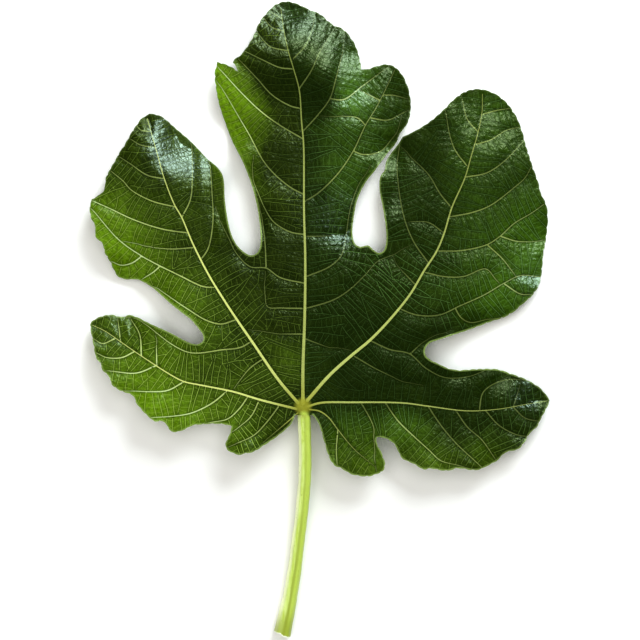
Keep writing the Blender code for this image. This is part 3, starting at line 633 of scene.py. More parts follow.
SWELLS = (
    # The two low spots that it rests on, near the tips of the upper lobes
    (-41, 114.5, 16.5, -11.2), (88, 133, 24, -7.8),
    # Middle lobe: raised left flap, crest below its tip, falling tip and right shoulder
    (-35, 124, 14, 7.2), (-24, 100, 9, 2.0), (-9, 140, 15, 3.8), (-3, 172, 17, -8.8),
    (8, 133, 9, 2.4), (28, 151, 17, -6.4), (24, 72, 11, -3.2),
    (15, 113, 9, 1.0), (30, 130, 9, -0.8),
    # Left upper lobe: raised outer margin, crest left of its rib
    (-86, 68, 15, 4.2), (-56, 78, 12, 1.6), (-64, 95, 14, 2.6), (-30, 84, 8, -1.6),
    (-61, 105, 8, 2.2), (-55, 92, 8, 1.6),
    # Left lower lobe: raised lower margin, falling upper margin
    (-62, -6, 13, 3.4), (-84, 12, 12, 2.8), (-72, 47, 14, -6.0), (-28, -18, 10, 2.0),
    # Right upper lobe: crest under its tip, falling right margin, crest beside the gap
    (64, 100, 14, 1.2), (104, 66, 15, -6.0), (66, 48, 14, 1.6), (33, 74, 10, 2.0),
    (37, 105, 9, -2.0),
    # Right lower lobe: falling upper margin, raised lower margin
    (80, 26, 14, -6.0), (78, -2, 12, 1.6), (58, -26, 13, 2.4), (92, -14, 10, 1.6),
    (26, -28, 10, 1.4),
)
print("swells placed by hand:", len(SWELLS))

# %% [markdown]
# Only the looks have the finer relief: a groove along every rung, a round top on every rib, and a
# quilt, the small fields of skin that stand up between the small veins. The quilt is low near the
# hub and high towards the tips, as on most fig leaves. Listed patches raise or flatten it
# where the light shows that the real skin is rougher or smoother.

# %% Sizes of the small relief
RUNG_GROOVE = 0.04
RUNG_GROOVE_REACH = 0.4
LINK_LAG = 0.1
QUILT_NEAR_HUB = 0.10
QUILT_AT_TIPS = 0.22
QUILT_GROWTH = (40.0, 125.0)
QUILT_REACH = 0.85
FLATTEST_QUILT = 0.3
VEIN_BEAD = 0.3
SIDE_BEAD_SHARE = 0.4
FULL_BEAD_HALF = 0.6
RUNG_RIB = 0.2
RUNG_RIB_REACH = 0.5

# Where the quilt is higher or lower than elsewhere: the middle, the radius and the change
PUFFS = (
    (18, 70, 12, 1.6), (36, 74, 8, 1.2), (28, 56, 9, 0.8), (94, 48, 10, 0.8), (88, 6, 9, 0.8),
    (-8, 158, 8, 0.6), (20, 140, 9, 0.5), (66, 100, 26, -0.35), (-50, 92, 20, -0.35),
    (-8, 128, 13, -0.6), (-2, 142, 9, -0.4),
)


def patches(points, spots):
    """The sum of soft round patches, each with its middle, radius and strength."""
    found = np.zeros(len(points))
    for x, y, radius, strength in spots:
        apart = (points[:, 0] - x) ** 2 + (points[:, 1] - y) ** 2
        found += strength * np.exp(-apart / radius ** 2)
    return found


print("places where the quilt differs:", len(PUFFS))

# %% [markdown]
# ## How far a point is from a vein
#
# Grooves and colours have to follow the veins exactly, but a search tree only knows points. So
# the nearest traced point is found first, and then the distance to the two short pieces of line
# that meet there. Each traced point also carries values of its own, such as half the width of its
# vein, which narrows from the hub outwards.

# %% Lines that can be measured
# Stands in for the squared length of a piece of line that has none
TINY = 1e-12


class Tracing:
    """Many lines, for the exact distance to them and values that change along each."""

    def __init__(self, lines, **values):
        self.places = np.vstack(lines)
        self.after = np.vstack([np.vstack([line[1:], line[-1:]]) for line in lines])
        self.before = np.vstack([np.vstack([line[:1], line[:-1]]) for line in lines])
        self.values = {name: np.concatenate(each) for name, each in values.items()}
        self.tree = tree_of(self.places)

    def distance(self, points):
        """Nearest traced point of each plan point, and the distance to the line there."""
        index, reach = nearest(self.tree, points)
        here = self.places[index]
        for other in (self.after[index], self.before[index]):
            step = other - here
            length = np.maximum((step ** 2).sum(axis=1), TINY)
            t = np.clip(((points - here) * step).sum(axis=1) / length, 0.0, 1.0)
            foot = here + step * t[:, None]
            reach = np.minimum(reach, np.linalg.norm(points - foot, axis=1))
        return index, reach


def tapering(lines, start_width, end_width):
    """Half the width of the vein at each point of each line."""
    return [0.5 * np.linspace(start_width, end_width, len(line)) for line in lines]


# %% Widths, heights and lightness of the veins
RIB_SHOWN = 0.7
RIB_NARROWING = 0.8
WIDTH_CURVE, HEIGHT_CURVE = 0.8, 0.7
SIDE_WIDTH = 0.56
SIDE_TIP_WIDTH = 0.3
RUNG_WIDTH = 0.30
RUNG_TIP_WIDTH = 0.7 * RUNG_WIDTH
LINK_WIDTH = 0.22

# How light each main rib is at these shares of its length
LIGHT_PLACES = (0.0, 0.2, 0.5, 0.8, 1.0)
RIB_LIGHT = {
    "midrib": (0.5, 0.44, 0.42, 0.14, 0.10),
    "left_upper": (0.6, 0.85, 1.0, 0.55, 0.4),
    "right_upper": (0.6, 0.62, 0.42, 0.2, 0.15),
    "left_lower": (0.6, 0.95, 0.95, 0.7, 0.6),
    "right_lower": (0.5, 0.52, 0.42, 0.26, 0.2),
    "left_basal": (0.3, 0.26, 0.18, 0.14, 0.1),
    "right_basal": (0.3, 0.28, 0.28, 0.18, 0.1),
}

main_halves, main_heights, main_light = [], [], []
for (name, (width, height, _)), line in zip(MAIN_RIBS.items(), main_lines):
    along = np.linspace(0.0, 1.0, len(line))
    main_halves.append(RIB_SHOWN * 0.5 * width * (1.0 - RIB_NARROWING * along ** WIDTH_CURVE))
    main_heights.append(height * (1.0 - RIB_NARROWING * along ** HEIGHT_CURVE))
    main_light.append(np.interp(along, LIGHT_PLACES, RIB_LIGHT[name]))
mains = Tracing(main_lines, half=main_halves, height=main_heights, light=main_light)
sides = Tracing(side_lines + ends, half=tapering(side_lines, SIDE_WIDTH, SIDE_TIP_WIDTH)
                + tapering(ends, SIDE_TIP_WIDTH, 0.5 * SIDE_TIP_WIDTH))
rung_trace = Tracing(rungs, half=tapering(rungs, RUNG_WIDTH, RUNG_TIP_WIDTH))
link_trace = Tracing(links, half=tapering(links, LINK_WIDTH, LINK_WIDTH))
margin_tree = tree_of(plain_margin)
tracings = {"main": mains, "side": sides, "rung": rung_trace, "link": link_trace}
print("traced points of veins:", sum(len(trace.places) for trace in tracings.values()))

# %% Measure any point of the leaf
def measure(points):
    """Distances from plan points to the veins and the margin, and the nearest vein's values."""
    found = {}
    for name, trace in tracings.items():
        index, found[name] = trace.distance(points)
        for value, numbers in trace.values.items():
            found[name + "_" + value] = numbers[index]
    index, found["edge"] = nearest(margin_tree, points)
    found["phase"] = margin_phase[index]
    found["hub"] = np.hypot(points[:, 0], points[:, 1])
    return found


# %% [markdown]
# ## Where the mesh needs points
#
# A mesh only shows what its points can hold. So each vein gets a row of points along its crest,
# the wide ribs get rows beside them, and an even honeycomb fills the rest. Points are taken in
# that order, and a new one is left out if it would crowd one that is already there. The margin's
# points come first, so the outline stays exact. A subdivided grid could be used instead, but it
# would need many more points for veins as sharp as these.

# %% A sieve for points
SIEVE_CELL = 1.0


class Sieve:
    """Keeps plan points that don't crowd the ones kept before."""

    def __init__(self):
        self.kept = []
        self.cells = {}

    def add(self, points, gap):
        for x, y in points:
            column, row = int(x // SIEVE_CELL), int(y // SIEVE_CELL)
            near = (p for i in (-1, 0, 1) for j in (-1, 0, 1)
                    for p in self.cells.get((column + i, row + j), ()))
            if all((x - px) ** 2 + (y - py) ** 2 >= gap * gap for px, py in near):
                self.kept.append((x, y))
                self.cells.setdefault((column, row), []).append((x, y))


# %% Rows and fillings of points
def honeycomb(step):
    """Points of an even triangular grid over the leaf."""
    low, high = margin.min(axis=0), margin.max(axis=0)
    rows = []
    for row, y in enumerate(np.arange(low[1], high[1], step * math.sqrt(3) / 2)):
        x = np.arange(low[0] + (row % 2) * step / 2, high[0], step)
        rows.append(np.column_stack([x, np.full_like(x, y)]))
    grid = np.vstack(rows)
    return grid[inside(grid)]


def rows_beside(course, step, offsets):
    """A row along a course, then rows beside it at the given distances."""
    crest = smooth_path(course, step)
    ahead = directions(crest)
    aside = np.column_stack([-ahead[:, 1], ahead[:, 0]])
    rows = [crest] + [crest + aside * offset for offset in offsets]
    return [row[inside(row)] for row in rows]


# %% Choose the points of both faces
CREST_STEP = 0.60
CROWDING = 0.43
MAIN_ROWS = (-0.5, 0.5, -1.0, 1.0)
SIDE_ROWS = (-0.5, 0.5)
FILL_STEP = 0.72
FILL_CROWDING = 0.75
# The lower face lies hidden, so its rows are wider apart
UNDER_CREST_STEP = 1.0
UNDER_MAIN_ROWS, UNDER_MAIN_CROWDING = (-0.6, 0.6, -1.3, 1.3, -2.0, 2.0), 0.55
UNDER_SIDE_ROWS, UNDER_SIDE_CROWDING = (-0.8, 0.8, -1.6, 1.6), 0.7
UNDER_RUNG_STEP, UNDER_RUNG_CROWDING = 1.2, 0.9
UNDER_FILL_STEP = 1.8


def upper_points():
    """Plan points of the upper face."""
    sieve = Sieve()
    sieve.add(margin, 0.0)
    for _, _, course in MAIN_RIBS.values():
        for row in rows_beside(course, CREST_STEP, MAIN_ROWS):
            sieve.add(row, CROWDING)
    for course in SIDE_VEINS:
        for row in rows_beside(course, CREST_STEP, SIDE_ROWS):
            sieve.add(row, CROWDING)
    for path in ends + rungs + links:
        sieve.add(evenly(path, CREST_STEP), CROWDING)
    sieve.add(honeycomb(FILL_STEP), FILL_CROWDING * FILL_STEP)
    return np.array(sieve.kept)


def lower_points():
    """Plan points of the lower face, with rows along the ribs."""
    sieve = Sieve()
    sieve.add(margin, 0.0)
    for _, _, course in MAIN_RIBS.values():
        for row in rows_beside(course, UNDER_CREST_STEP, UNDER_MAIN_ROWS):
            sieve.add(row, UNDER_MAIN_CROWDING)
    for course in SIDE_VEINS:
        for row in rows_beside(course, UNDER_CREST_STEP, UNDER_SIDE_ROWS):
            sieve.add(row, UNDER_SIDE_CROWDING)
    for path in rungs:
        sieve.add(evenly(path, UNDER_RUNG_STEP), UNDER_RUNG_CROWDING)
    sieve.add(honeycomb(UNDER_FILL_STEP), FILL_CROWDING * UNDER_FILL_STEP)
    return np.array(sieve.kept)


# %% [markdown]
# The points are joined by a rule that avoids thin triangles: the circle through the corners of a
# triangle holds no other point. Only the margin's edges are held fast. The rule also fills the
# sinuses between the lobes, and those triangles are thrown away. The chart is too coarse to tell
# right beside the margin, so there the margin itself is asked: a point is inside if a line from
# it to the side crosses the margin an odd number of times.

# %% Triangles on the leaf
NEAR_MARGIN = 1.0
SAME_POINT = 1e-6


def inside_margin(points):
    """True for points within the margin itself, exact where the chart is only near."""
    sure = inside(points)
    distance = nearest(tree_of(margin), points)[1]
    close = np.flatnonzero(distance < NEAR_MARGIN)
    x, y = points[close, 0], points[close, 1]
    found = np.zeros(len(close), dtype=bool)
    for (x1, y1), (x2, y2) in zip(margin, np.roll(margin, -1, axis=0)):
        if y1 == y2:
            continue
        spans = (y1 > y) != (y2 > y)
        found ^= spans & (x < x1 + (y - y1) * (x2 - x1) / (y2 - y1))
    sure[close] = found
    return sure


def triangulate(points):
    """Triangles between plan points, kept where they lie on the leaf."""
    rim = list(range(len(margin)))
    rim_edges = list(zip(rim, rim[1:] + rim[:1]))
    places, _, triangles = delaunay_2d_cdt([Vector(p) for p in points], rim_edges, [], 0,
                                           SAME_POINT, False)[:3]
    places = np.array([tuple(p) for p in places])
    triangles = np.array(triangles)
    middles = places[triangles].mean(axis=1)
    return places, triangles[inside_margin(middles)]


# %% [markdown]
# Where two veins run close together, an edge can lead straight from one to the other. Nothing on
# that edge is then far enough from a vein, and the strip of skin between them would be drawn in
# the veins' colour. The next function compares the true distance in the middle of each edge and
# each triangle with the one that the mesh would draw, and adds a point where skin would vanish.

# %% Points between close veins
HIDDEN_SKIN = 0.19


def missing_points(plan, triangles):
    """Middles of edges and triangles where the mesh would hide the skin between two veins."""
    edges = np.sort(np.vstack([triangles[:, [0, 1]], triangles[:, [1, 2]], triangles[:, [2, 0]]]))
    edges, uses = np.unique(edges, axis=0, return_counts=True)
    edges = edges[uses == 2]
    middles = 0.5 * (plan[edges[:, 0]] + plan[edges[:, 1]])
    wanted = np.zeros(len(edges), dtype=bool)
    for trace in (mains, sides, rung_trace):
        at_points = trace.distance(plan)[1]
        drawn = 0.5 * (at_points[edges[:, 0]] + at_points[edges[:, 1]])
        wanted |= trace.distance(middles)[1] - drawn > HIDDEN_SKIN
    hearts = plan[triangles].mean(axis=1)
    covered = np.zeros(len(hearts), dtype=bool)
    for trace in tracings.values():
        drawn = trace.distance(plan)[1][triangles].mean(axis=1)
        covered |= trace.distance(hearts)[1] - drawn > HIDDEN_SKIN
    return np.vstack([middles[wanted], hearts[covered]])


upper_kept = upper_points()
upper_plan, upper_triangles = triangulate(upper_kept)
added = missing_points(upper_plan, upper_triangles)
print("points added between close veins:", len(added))
upper_plan, upper_triangles = triangulate(np.vstack([upper_kept, added]))
lower_plan, lower_triangles = triangulate(lower_points())
print("upper face:", len(upper_triangles), "triangles; lower face:", len(lower_triangles))

# %% [markdown]
# ## The terms added up
#
# Now every point gets its height. The upper face is the large form plus the small relief. The
# lower face lies below the large form by the leaf's thickness, which is the skin's own and grows
# at the ribs and the hub. Where that would sink through the floor, the face is kept at its level,
# so the leaf rests on small flat spots.

# %% The upper face's terms
def large_form(points, d):
    """Height of the upper face without its small relief."""
    top = OUTER_TOP + (HUB_TOP - OUTER_TOP) * np.exp(-(d["hub"] / DROOP_RADIUS) ** 2)
    top += patches(points, SWELLS)
    ripple = np.sin(math.tau * d["phase"] * COARSE_STEP / RIPPLE_LENGTH)
    top += MARGIN_RIPPLE * ripple * np.exp(-(d["edge"] / RIPPLE_REACH) ** 2)
    to_vein = np.minimum(d["main"], d["side"])
    top += PUFF_HEIGHT * (1.0 - np.exp(-(to_vein / PUFF_REACH) ** 2))
    top -= RIB_FOLD * d["main"] * np.exp(-(d["main"] / FOLD_REACH) ** 2)
    top -= MAIN_GROOVE * np.exp(-(d["main"] / GROOVE_REACH) ** 2)
    top -= SIDE_GROOVE * np.exp(-(d["side"] / GROOVE_REACH) ** 2)
    top += HUB_KNOB * np.exp(-(d["hub"] / HUB_RADIUS) ** 4)
    return top


def bead(distance, half, size):
    """The rounded top of a vein, highest at its crest."""
    return size * np.sqrt(np.clip(1.0 - (distance / half) ** 2, 0.0, 1.0))


def small_relief(points, d):
    """Grooves of the small veins, the quilt between them and the round tops of the ribs."""
    small = np.minimum.reduce([d["main"], d["side"], d["rung"], LINK_LAG + d["link"]])
    quilt = np.interp(d["hub"], QUILT_GROWTH, (QUILT_NEAR_HUB, QUILT_AT_TIPS))
    quilt *= np.clip(1.0 + patches(points, PUFFS), FLATTEST_QUILT, None)
    relief = quilt * (1.0 - np.exp(-(small / QUILT_REACH) ** 2))
    relief -= RUNG_GROOVE * np.exp(-(d["rung"] / RUNG_GROOVE_REACH) ** 2)
    wide = np.clip(d["main_half"] / FULL_BEAD_HALF, 0, 1)
    relief += bead(d["main"], d["main_half"], VEIN_BEAD) * wide
    relief += bead(d["side"], d["side_half"], SIDE_BEAD_SHARE * VEIN_BEAD)
    return relief


# %% Thickness, and the heights of both faces
def thickness_of(d):
    """How thick the leaf is, most at the ribs under it and at the hub."""
    hub = np.exp(-(d["hub"] / HUB_RADIUS) ** 4)
    rib = SKIN + d["main_height"] * np.exp(-(d["main"] / (0.5 * RIB_FOOT)) ** 2)
    side = SKIN + SIDE_RIB * np.exp(-(d["side"] / SIDE_RIB_REACH) ** 2)
    rung = SKIN + RUNG_RIB * np.exp(-(d["rung"] / RUNG_RIB_REACH) ** 2)
    return np.maximum.reduce([rib, side, rung, (HUB_DEPTH + HUB_KNOB) * hub])


upper_d, lower_d = measure(upper_plan), measure(lower_plan)
upper_z = np.maximum(large_form(upper_plan, upper_d), SKIN) + small_relief(upper_plan, upper_d)
lower_top = np.maximum(large_form(lower_plan, lower_d), SKIN)
lower_z = np.maximum(lower_top - thickness_of(lower_d), 0.0)
print("heights of the blade:", round(float(lower_z.min()), 2), "to",
      round(float(upper_z.max()), 2), "mm")


# %% [markdown]
# ## The blade as one closed mesh
#
# The two faces share the margin's plan but not their points inside it: the upper face has many
# times more, because that is the face one looks at. A narrow wall round the margin joins them.
# The wall is wound so that every face looks outwards, and each side of the leaf gets its own
# material slot. The distances measured above are stored as attributes, numbers on the points
# that the materials can read.

# %% Build the blade
CREASE_ANGLE = 55


def rim_of(triangles):
    """Edges of a face that have a triangle on one side only."""
    edges = {}
    for a, b, c in triangles:
        for edge in ((a, b), (b, c), (c, a)):
            edges[edge] = True
    return [(a, b) for a, b in edges if (b, a) not in edges]


def spot_of(point):
    """A key that is the same for the same plan point in both faces."""
    return round(float(point[0]), 3), round(float(point[1]), 3)


_, blade_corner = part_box("blade")
shift = plain_margin.max(axis=0) - np.array(blade_corner[:2]) / MM
print("the hub lies at", (-shift).round(2), "mm")


def build_blade():
    """Vertices and faces of the blade in millimetres, with the material slot of each face."""
    count = len(upper_plan)
    vertices = np.vstack([np.column_stack([upper_plan, upper_z]),
                          np.column_stack([lower_plan, lower_z])])
    under = {spot_of(p): count + k for k, p in enumerate(lower_plan)}
    faces = [tuple(int(v) for v in t) for t in upper_triangles]
    faces += [(int(c) + count, int(b) + count, int(a) + count) for a, b, c in lower_triangles]
    wall = []
    for a, b in rim_of(upper_triangles.tolist()):
        a_under, b_under = under[spot_of(upper_plan[a])], under[spot_of(upper_plan[b])]
        wall.append((b, a, a_under, b_under))
    slots = [0] * len(upper_triangles) + [1] * len(lower_triangles) + [2] * len(wall)
    vertices[:, :2] -= shift
    return vertices, faces + wall, slots


def make_piece(name, vertices, faces):
    """One mesh object from millimetres, in the plain model's frame."""
    mesh = bpy.data.meshes.new(name)
    mesh.from_pydata((np.asarray(vertices) * MM).tolist(), [], faces)
    mesh.update()
    made = bpy.data.objects.new(name, mesh)
    bpy.context.scene.collection.objects.link(made)
    return made


def store(piece, name, values):
    """A number on every vertex, for the materials."""
    layer = piece.data.attributes.new(name, "FLOAT", "POINT")
    layer.data.foreach_set("value", np.ascontiguousarray(values, dtype=np.float32))


vertices, faces, slots = build_blade()
blade = make_piece("fig_leaf_blade", vertices, faces)
blade.data.polygons.foreach_set("material_index", slots)
blade.data.shade_smooth()
blade.data.set_sharp_from_angle(angle=math.radians(CREASE_ANGLE))
print("blade:", len(blade.data.vertices), "points,", len(blade.data.polygons), "faces")

# %% [markdown]
# ## Numbers for the materials
#
# A vein's colour has to stop sharply at its edge, which is finer than the mesh. So the attribute
# isn't the colour but the distance to the vein's edge, in millimetres: below zero on the vein and
# above it beside the vein. That changes evenly across a face, and the material turns it into a
# sharp line. The other attributes say how far a point is from the margin, the hub and the stalk,
# how wide the nearest side vein is, and how light the nearest main rib.

# %% Store the distances
TOUCH_GAP = 0.35
STALK_START = (0.4, HUB_EDGE - TOUCH_GAP)


def both(name):
    """One measure for the points of the upper and then the lower face."""
    return np.concatenate([upper_d[name], lower_d[name]])


plan = np.vstack([upper_plan, lower_plan])
for name in ("main", "side", "rung", "link"):
    store(blade, name + "_edge", both(name) - both(name + "_half"))
store(blade, "side_half", both("side_half"))
store(blade, "rib_light", both("main_light"))
store(blade, "from_margin", both("edge"))
store(blade, "from_hub", both("hub"))
store(blade, "from_stalk", np.hypot(*(plan - STALK_START).T))
print("numbers stored:", [layer.name for layer in blade.data.attributes][-9:])

# %% [markdown]
# No leaf has one green. This one is yellow-green in places and turns to a dark blue-green along
# the middle. Part of it is painted light: the bright yellow-green of the raised margins and the
# left flap stands in for light that passes the thin skin, and the dark bands beside the midrib are
# painted shade where the skin tilts away from the lamp. The tone attribute holds all of that:
# above zero is yellower and lighter, below zero darker. Its patches are listed one by one, as a
# painter would block them in, because a noise would put them anywhere.

# %% Patches of tone
# Each patch has its middle, its radius and its strength
TONES_AND_PAINTED_LIGHT = (
    # Left lower and left basal lobes: yellower towards the tip, brightest in painted light at the
    # lower margin
    (-66, 8, 26, 0.6), (-36, -2, 22, 0.32), (-46, -8, 10, 0.22), (-60, -2, 9, 0.2),
    (-44, 30, 14, 0.15), (-68, 27, 12, -0.12), (-28, -12, 10, 0.16), (-42, 12, 13, -0.22),
    # Left upper lobe: outer margin brightened by painted light
    (-60, 70, 34, 0.10), (-86, 68, 20, 0.7), (-68, 56, 13, 0.4), (-52, 43, 13, 0.33),
    (-50, 60, 9, -0.08), (-62, 92, 10, -0.06), (-17, 42, 9, 0.14),
    # Middle lobe: left flap brightened by painted light, painted shade in bands beside the midrib,
    # fresher right half
    (-33, 120, 14, 1.15), (-28, 100, 9, 0.42), (-24, 84, 9, 0.25), (-36, 134, 7, 0.5),
    (-9, 131, 10, -0.8), (5, 123, 7, -0.8), (14, 77, 9, 0.12), (18, 104, 22, 0.18),
    (-6, 52, 16, -0.2), (-4, 100, 10, -0.3), (7, 80, 9, -0.2), (-2, 20, 12, 0.34),
    (20, 124, 9, 0.5), (-18, 121, 7, 0.25), (15, 90, 9, 0.12), (-17, 74, 8, -0.15),
    (24, 139, 9, 0.2),
    # The dark middle and the dark right lower lobe, with painted light on its lower margins
    (16, 32, 24, -0.34), (40, 14, 26, -0.36), (66, 10, 14, -0.3), (28, -24, 9, 0.36),
    (13, -20, 7, 0.28), (52, -22, 9, 0.36), (72, -18, 9, 0.22), (38, -8, 11, 0.48),
    (24, -8, 8, 0.2), (15, -8, 8, 0.3), (47, -7, 8, 0.16), (34, 44, 12, 0.16),
    (50, 42, 9, 0.1),
    # Right upper lobe
    (84, 70, 26, 0.19), (66, 102, 22, 0.14), (64, 40, 14, 0.14), (80, 43, 11, 0.36),
    (94, 60, 12, 0.28), (50, 104, 10, -0.3), (46, 78, 14, -0.16), (92, 80, 9, 0.12),
    (78, 121, 9, 0.14), (79, 90, 9, -0.1),
)
# The tone holds the leaf's own greens together with painted light and painted shade
store(blade, "tone", patches(plan, TONES_AND_PAINTED_LIGHT))
print("patches of tone:", len(TONES_AND_PAINTED_LIGHT))

# %% [markdown]
# The leaf's two halves differ as well. Left of the midrib the greens are olive, in part painted
# warm light that passes the skin; right of it they are cooler, in part a painted bluish sheen. The
# next attribute passes from 0 to 1 across the midrib, within a few millimetres.
# Below the hub it fades, so that the basal lobes share one green.

# %% The cooler half
HALF_BLEND = 3.0
FADE_LENGTH = 20.0
FADE_START = 1.2

midrib_course = np.array(MAIN_RIBS["midrib"][2])
across = plan[:, 0] - np.interp(plan[:, 1], midrib_course[:, 1], midrib_course[:, 0])
upward = np.clip(plan[:, 1] / FADE_LENGTH + FADE_START, 0.0, 1.0)
store(blade, "right_half", np.clip(0.5 + across / HALF_BLEND, 0.0, 1.0) * upward)

# %% [markdown]
# A fig leaf wears a thin wax. It is thickest where nothing has rubbed it off, and there the leaf
# shines like lacquer; elsewhere the shine is dull. The wax attribute multiplies the shine, and the
# net's own attribute multiplies how much the smallest veins stand out. For both, 1 is the usual
# amount, and listed patches raise or lower it.

# %% Wax, and how clear the net is
LEAST = 0.2

WAX = (
    (-47, 104, 13, 1.7), (-56, 111, 6, 0.8), (-68, 113, 6, -1.2), (-1, 139, 8, -0.5),
    (-49, 90, 9, -0.3), (-2, 155, 15, 0.4), (19, 122, 9, 0.6), (-10, 130, 10, -0.6),
    (4, 120, 8, -0.5), (20, 30, 30, -0.45), (16, 74, 12, 1.2), (74, 112, 18, -0.3),
    (52, 104, 10, -0.4), (66, 62, 20, -0.4), (93, 51, 10, 0.9), (76, 12, 11, -0.9),
    (90, 5, 8, 1.3), (97, 2, 4, -1.0), (-74, 32, 9, 0.3), (40, 2, 20, -0.3), (-17, 76, 8, -0.4),
    (-34, 120, 14, -0.6), (-17, 106, 8, -0.4), (-84, 72, 14, -0.5), (-62, 0, 20, -0.4),
    (20, 140, 9, 0.3),
)

NET_LIGHT = (
    (-52, 90, 26, -0.45), (-10, 124, 20, -0.5), (-12, 92, 14, -0.35), (34, 124, 12, -0.3),
    (68, 100, 30, -0.5), (60, 74, 14, -0.3), (4, 6, 14, -0.35), (18, 62, 13, 0.8),
    (34, 48, 14, 0.6), (16, 34, 12, 0.6), (-46, -2, 18, 0.25), (-26, -16, 10, 0.9),
    (-34, 66, 13, -0.5), (-17, 42, 10, -0.3), (-4, 24, 10, -0.45), (-5, 66, 10, -0.6),
    (56, -14, 24, -0.15), (22, -16, 12, -0.15),
)

for name, spots in (("wax", WAX), ("net_light", NET_LIGHT)):
    store(blade, name, np.clip(1.0 + patches(plan, spots), LEAST, None))
print("patches of wax and net:", len(WAX), len(NET_LIGHT))

# %% [markdown]
# ## Helpers for materials
#
# A material is a small graph of nodes that ends in one shader. These helpers add a node, set its
# sockets and link it, so that each finish below reads as a short list of what is on top of what.

# %% Nodes, sockets and stored numbers
def new_material(name):
    """A material with its node tree and its shader."""
    made = bpy.data.materials.new(name)
    made.use_nodes = True
    return made, made.node_tree, made.node_tree.nodes["Principled BSDF"]


def put(tree, socket, value):
    """Links a socket, or sets it to a number or colour."""
    if isinstance(value, bpy.types.NodeSocket):
        tree.links.new(value, socket)
    elif hasattr(socket.default_value, "__len__") and len(value) == 3:
        socket.default_value = (*value, 1.0) if len(socket.default_value) == 4 else value
    else:
        socket.default_value = value


def attribute(tree, name):
    """A stored number."""
    node = tree.nodes.new("ShaderNodeAttribute")
    node.attribute_name = name
    return node.outputs["Fac"]


def place(tree):
    """The place on the piece in metres."""
    return tree.nodes.new("ShaderNodeTexCoord").outputs["Object"]


# %% [markdown]
# Most of a finish is a number turned into another number, and one colour laid over another. An
# even passage has soft ends, which suits an edge, and a ramp has straight ones, which suits a
# change over a long way.

# %% Passages, sums and layers
def passage(tree, value, low, high, start=0.0, end=1.0):
    """An even passage from start at low to end at high."""
    node = tree.nodes.new("ShaderNodeMapRange")
    node.interpolation_type = "SMOOTHSTEP"
    put(tree, node.inputs["Value"], value)
    for name, number in (("From Min", low), ("From Max", high), ("To Min", start),
                         ("To Max", end)):
        node.inputs[name].default_value = number
    return node.outputs["Result"]


def ramp(tree, value, low, high, start=0.0, end=1.0):
    """A straight passage from start at low to end at high, and level beyond them."""
    made = passage(tree, value, low, high, start, end)
    made.node.interpolation_type = "LINEAR"
    return made


def reckon(tree, operation, first, second):
    """Two numbers added, multiplied and so on."""
    node = tree.nodes.new("ShaderNodeMath")
    node.operation = operation
    put(tree, node.inputs[0], first)
    put(tree, node.inputs[1], second)
    return node.outputs["Value"]


def over(tree, amount, below, above):
    """One colour laid over another."""
    node = tree.nodes.new("ShaderNodeMix")
    node.data_type = "RGBA"
    put(tree, node.inputs["Factor"], amount)
    put(tree, node.inputs["A"], below)
    put(tree, node.inputs["B"], above)
    return node.outputs["Result"]


# %% [markdown]
# Detail that no mesh could hold comes from two textures. Noise makes soft clouds. The other one
# strews points and makes a cell of all that lies nearest to each, like the smallest fields of a
# leaf's skin. Both take their place on the piece in metres, so a grain given in millimetres stays
# true at any size of picture.

# %% Textures and relief
def cloud(tree, vector, grain, detail=2.0):
    """Soft noise with patches of about the given size in millimetres."""
    node = tree.nodes.new("ShaderNodeTexNoise")
    put(tree, node.inputs["Vector"], vector)
    node.inputs["Scale"].default_value = 1.0 / (grain * MM)
    node.inputs["Detail"].default_value = detail
    return node.outputs["Fac"]


def cells(tree, vector, grain):
    """Distance from the edges of small cells of the given size, 0 on the edges."""
    node = tree.nodes.new("ShaderNodeTexVoronoi")
    node.feature = "DISTANCE_TO_EDGE"
    put(tree, node.inputs["Vector"], vector)
    node.inputs["Scale"].default_value = 1.0 / (grain * MM)
    return node.outputs["Distance"]


def bump(tree, height, depth, strength, below=None):
    """Relief too fine for the mesh, with its depth in millimetres."""
    node = tree.nodes.new("ShaderNodeBump")
    node.inputs["Strength"].default_value = strength
    node.inputs["Distance"].default_value = depth * MM
    put(tree, node.inputs["Height"], height)
    if below is not None:
        tree.links.new(below, node.inputs["Normal"])
    return node.outputs["Normal"]


# %% [markdown]
# ## The upper face
#
# The upper skin is a dark green that grows lighter and yellower with the tone. It has a faint
# mottle, small dark spots, and a net of cells about a millimetre and a half wide whose seams carry
# painted shade, strongest where the skin is dark. A narrow band of painted shade beside each vein
# lets it stand out, as the groove does on the real leaf, where little light reaches the bottom.

# %% Greens of the skin
DARK_GREEN = (0.0055, 0.0120, 0.0009)
DEEP_GREEN = (0.0120, 0.0240, 0.0015)
MID_GREEN = (0.0175, 0.0335, 0.0022)
FRESH_GREEN = (0.105, 0.240, 0.0140)
DEEP_OLIVE = (0.0135, 0.0230, 0.0013)
MID_OLIVE = (0.0215, 0.0340, 0.0020)
WARM_GREEN = (0.160, 0.300, 0.0060)
MOTTLE_GRAIN = 9.0
UNEVEN_GRAIN, UNEVEN_TONE = 5.0, 0.24
SPOT_GRAIN = 1.3
# Noise stays near a half, so a passage over it starts and ends on either side of that
NARROW, BROAD = (0.35, 0.65), (0.3, 0.7)
# Each row is one passage: where it starts, where it ends, and how strong the layer is at both
SPOTS = (0.35, 0.75, 0.0, 0.4)
# The seams between the cells and the band beside each vein are painted shade
SEAM_SHADE = (0.02, 0.14, 1.0, 0.0)
SEAM_SHADE_BY_TONE = (0.0, 0.6, 0.30, 0.15)
GROOVE_SHADE = (0.05, 0.5, 1.0, 0.0)
GROOVE_SHADE_BY_TONE = (0.3, 0.9, 0.7, 0.3)


def leaf_tone(tree, spot):
    """The tone placed by hand, made a little uneven."""
    unevenness = reckon(tree, "MULTIPLY", cloud(tree, spot, UNEVEN_GRAIN, 3.0), UNEVEN_TONE)
    return reckon(tree, "ADD", attribute(tree, "tone"),
                  reckon(tree, "SUBTRACT", unevenness, 0.5 * UNEVEN_TONE))


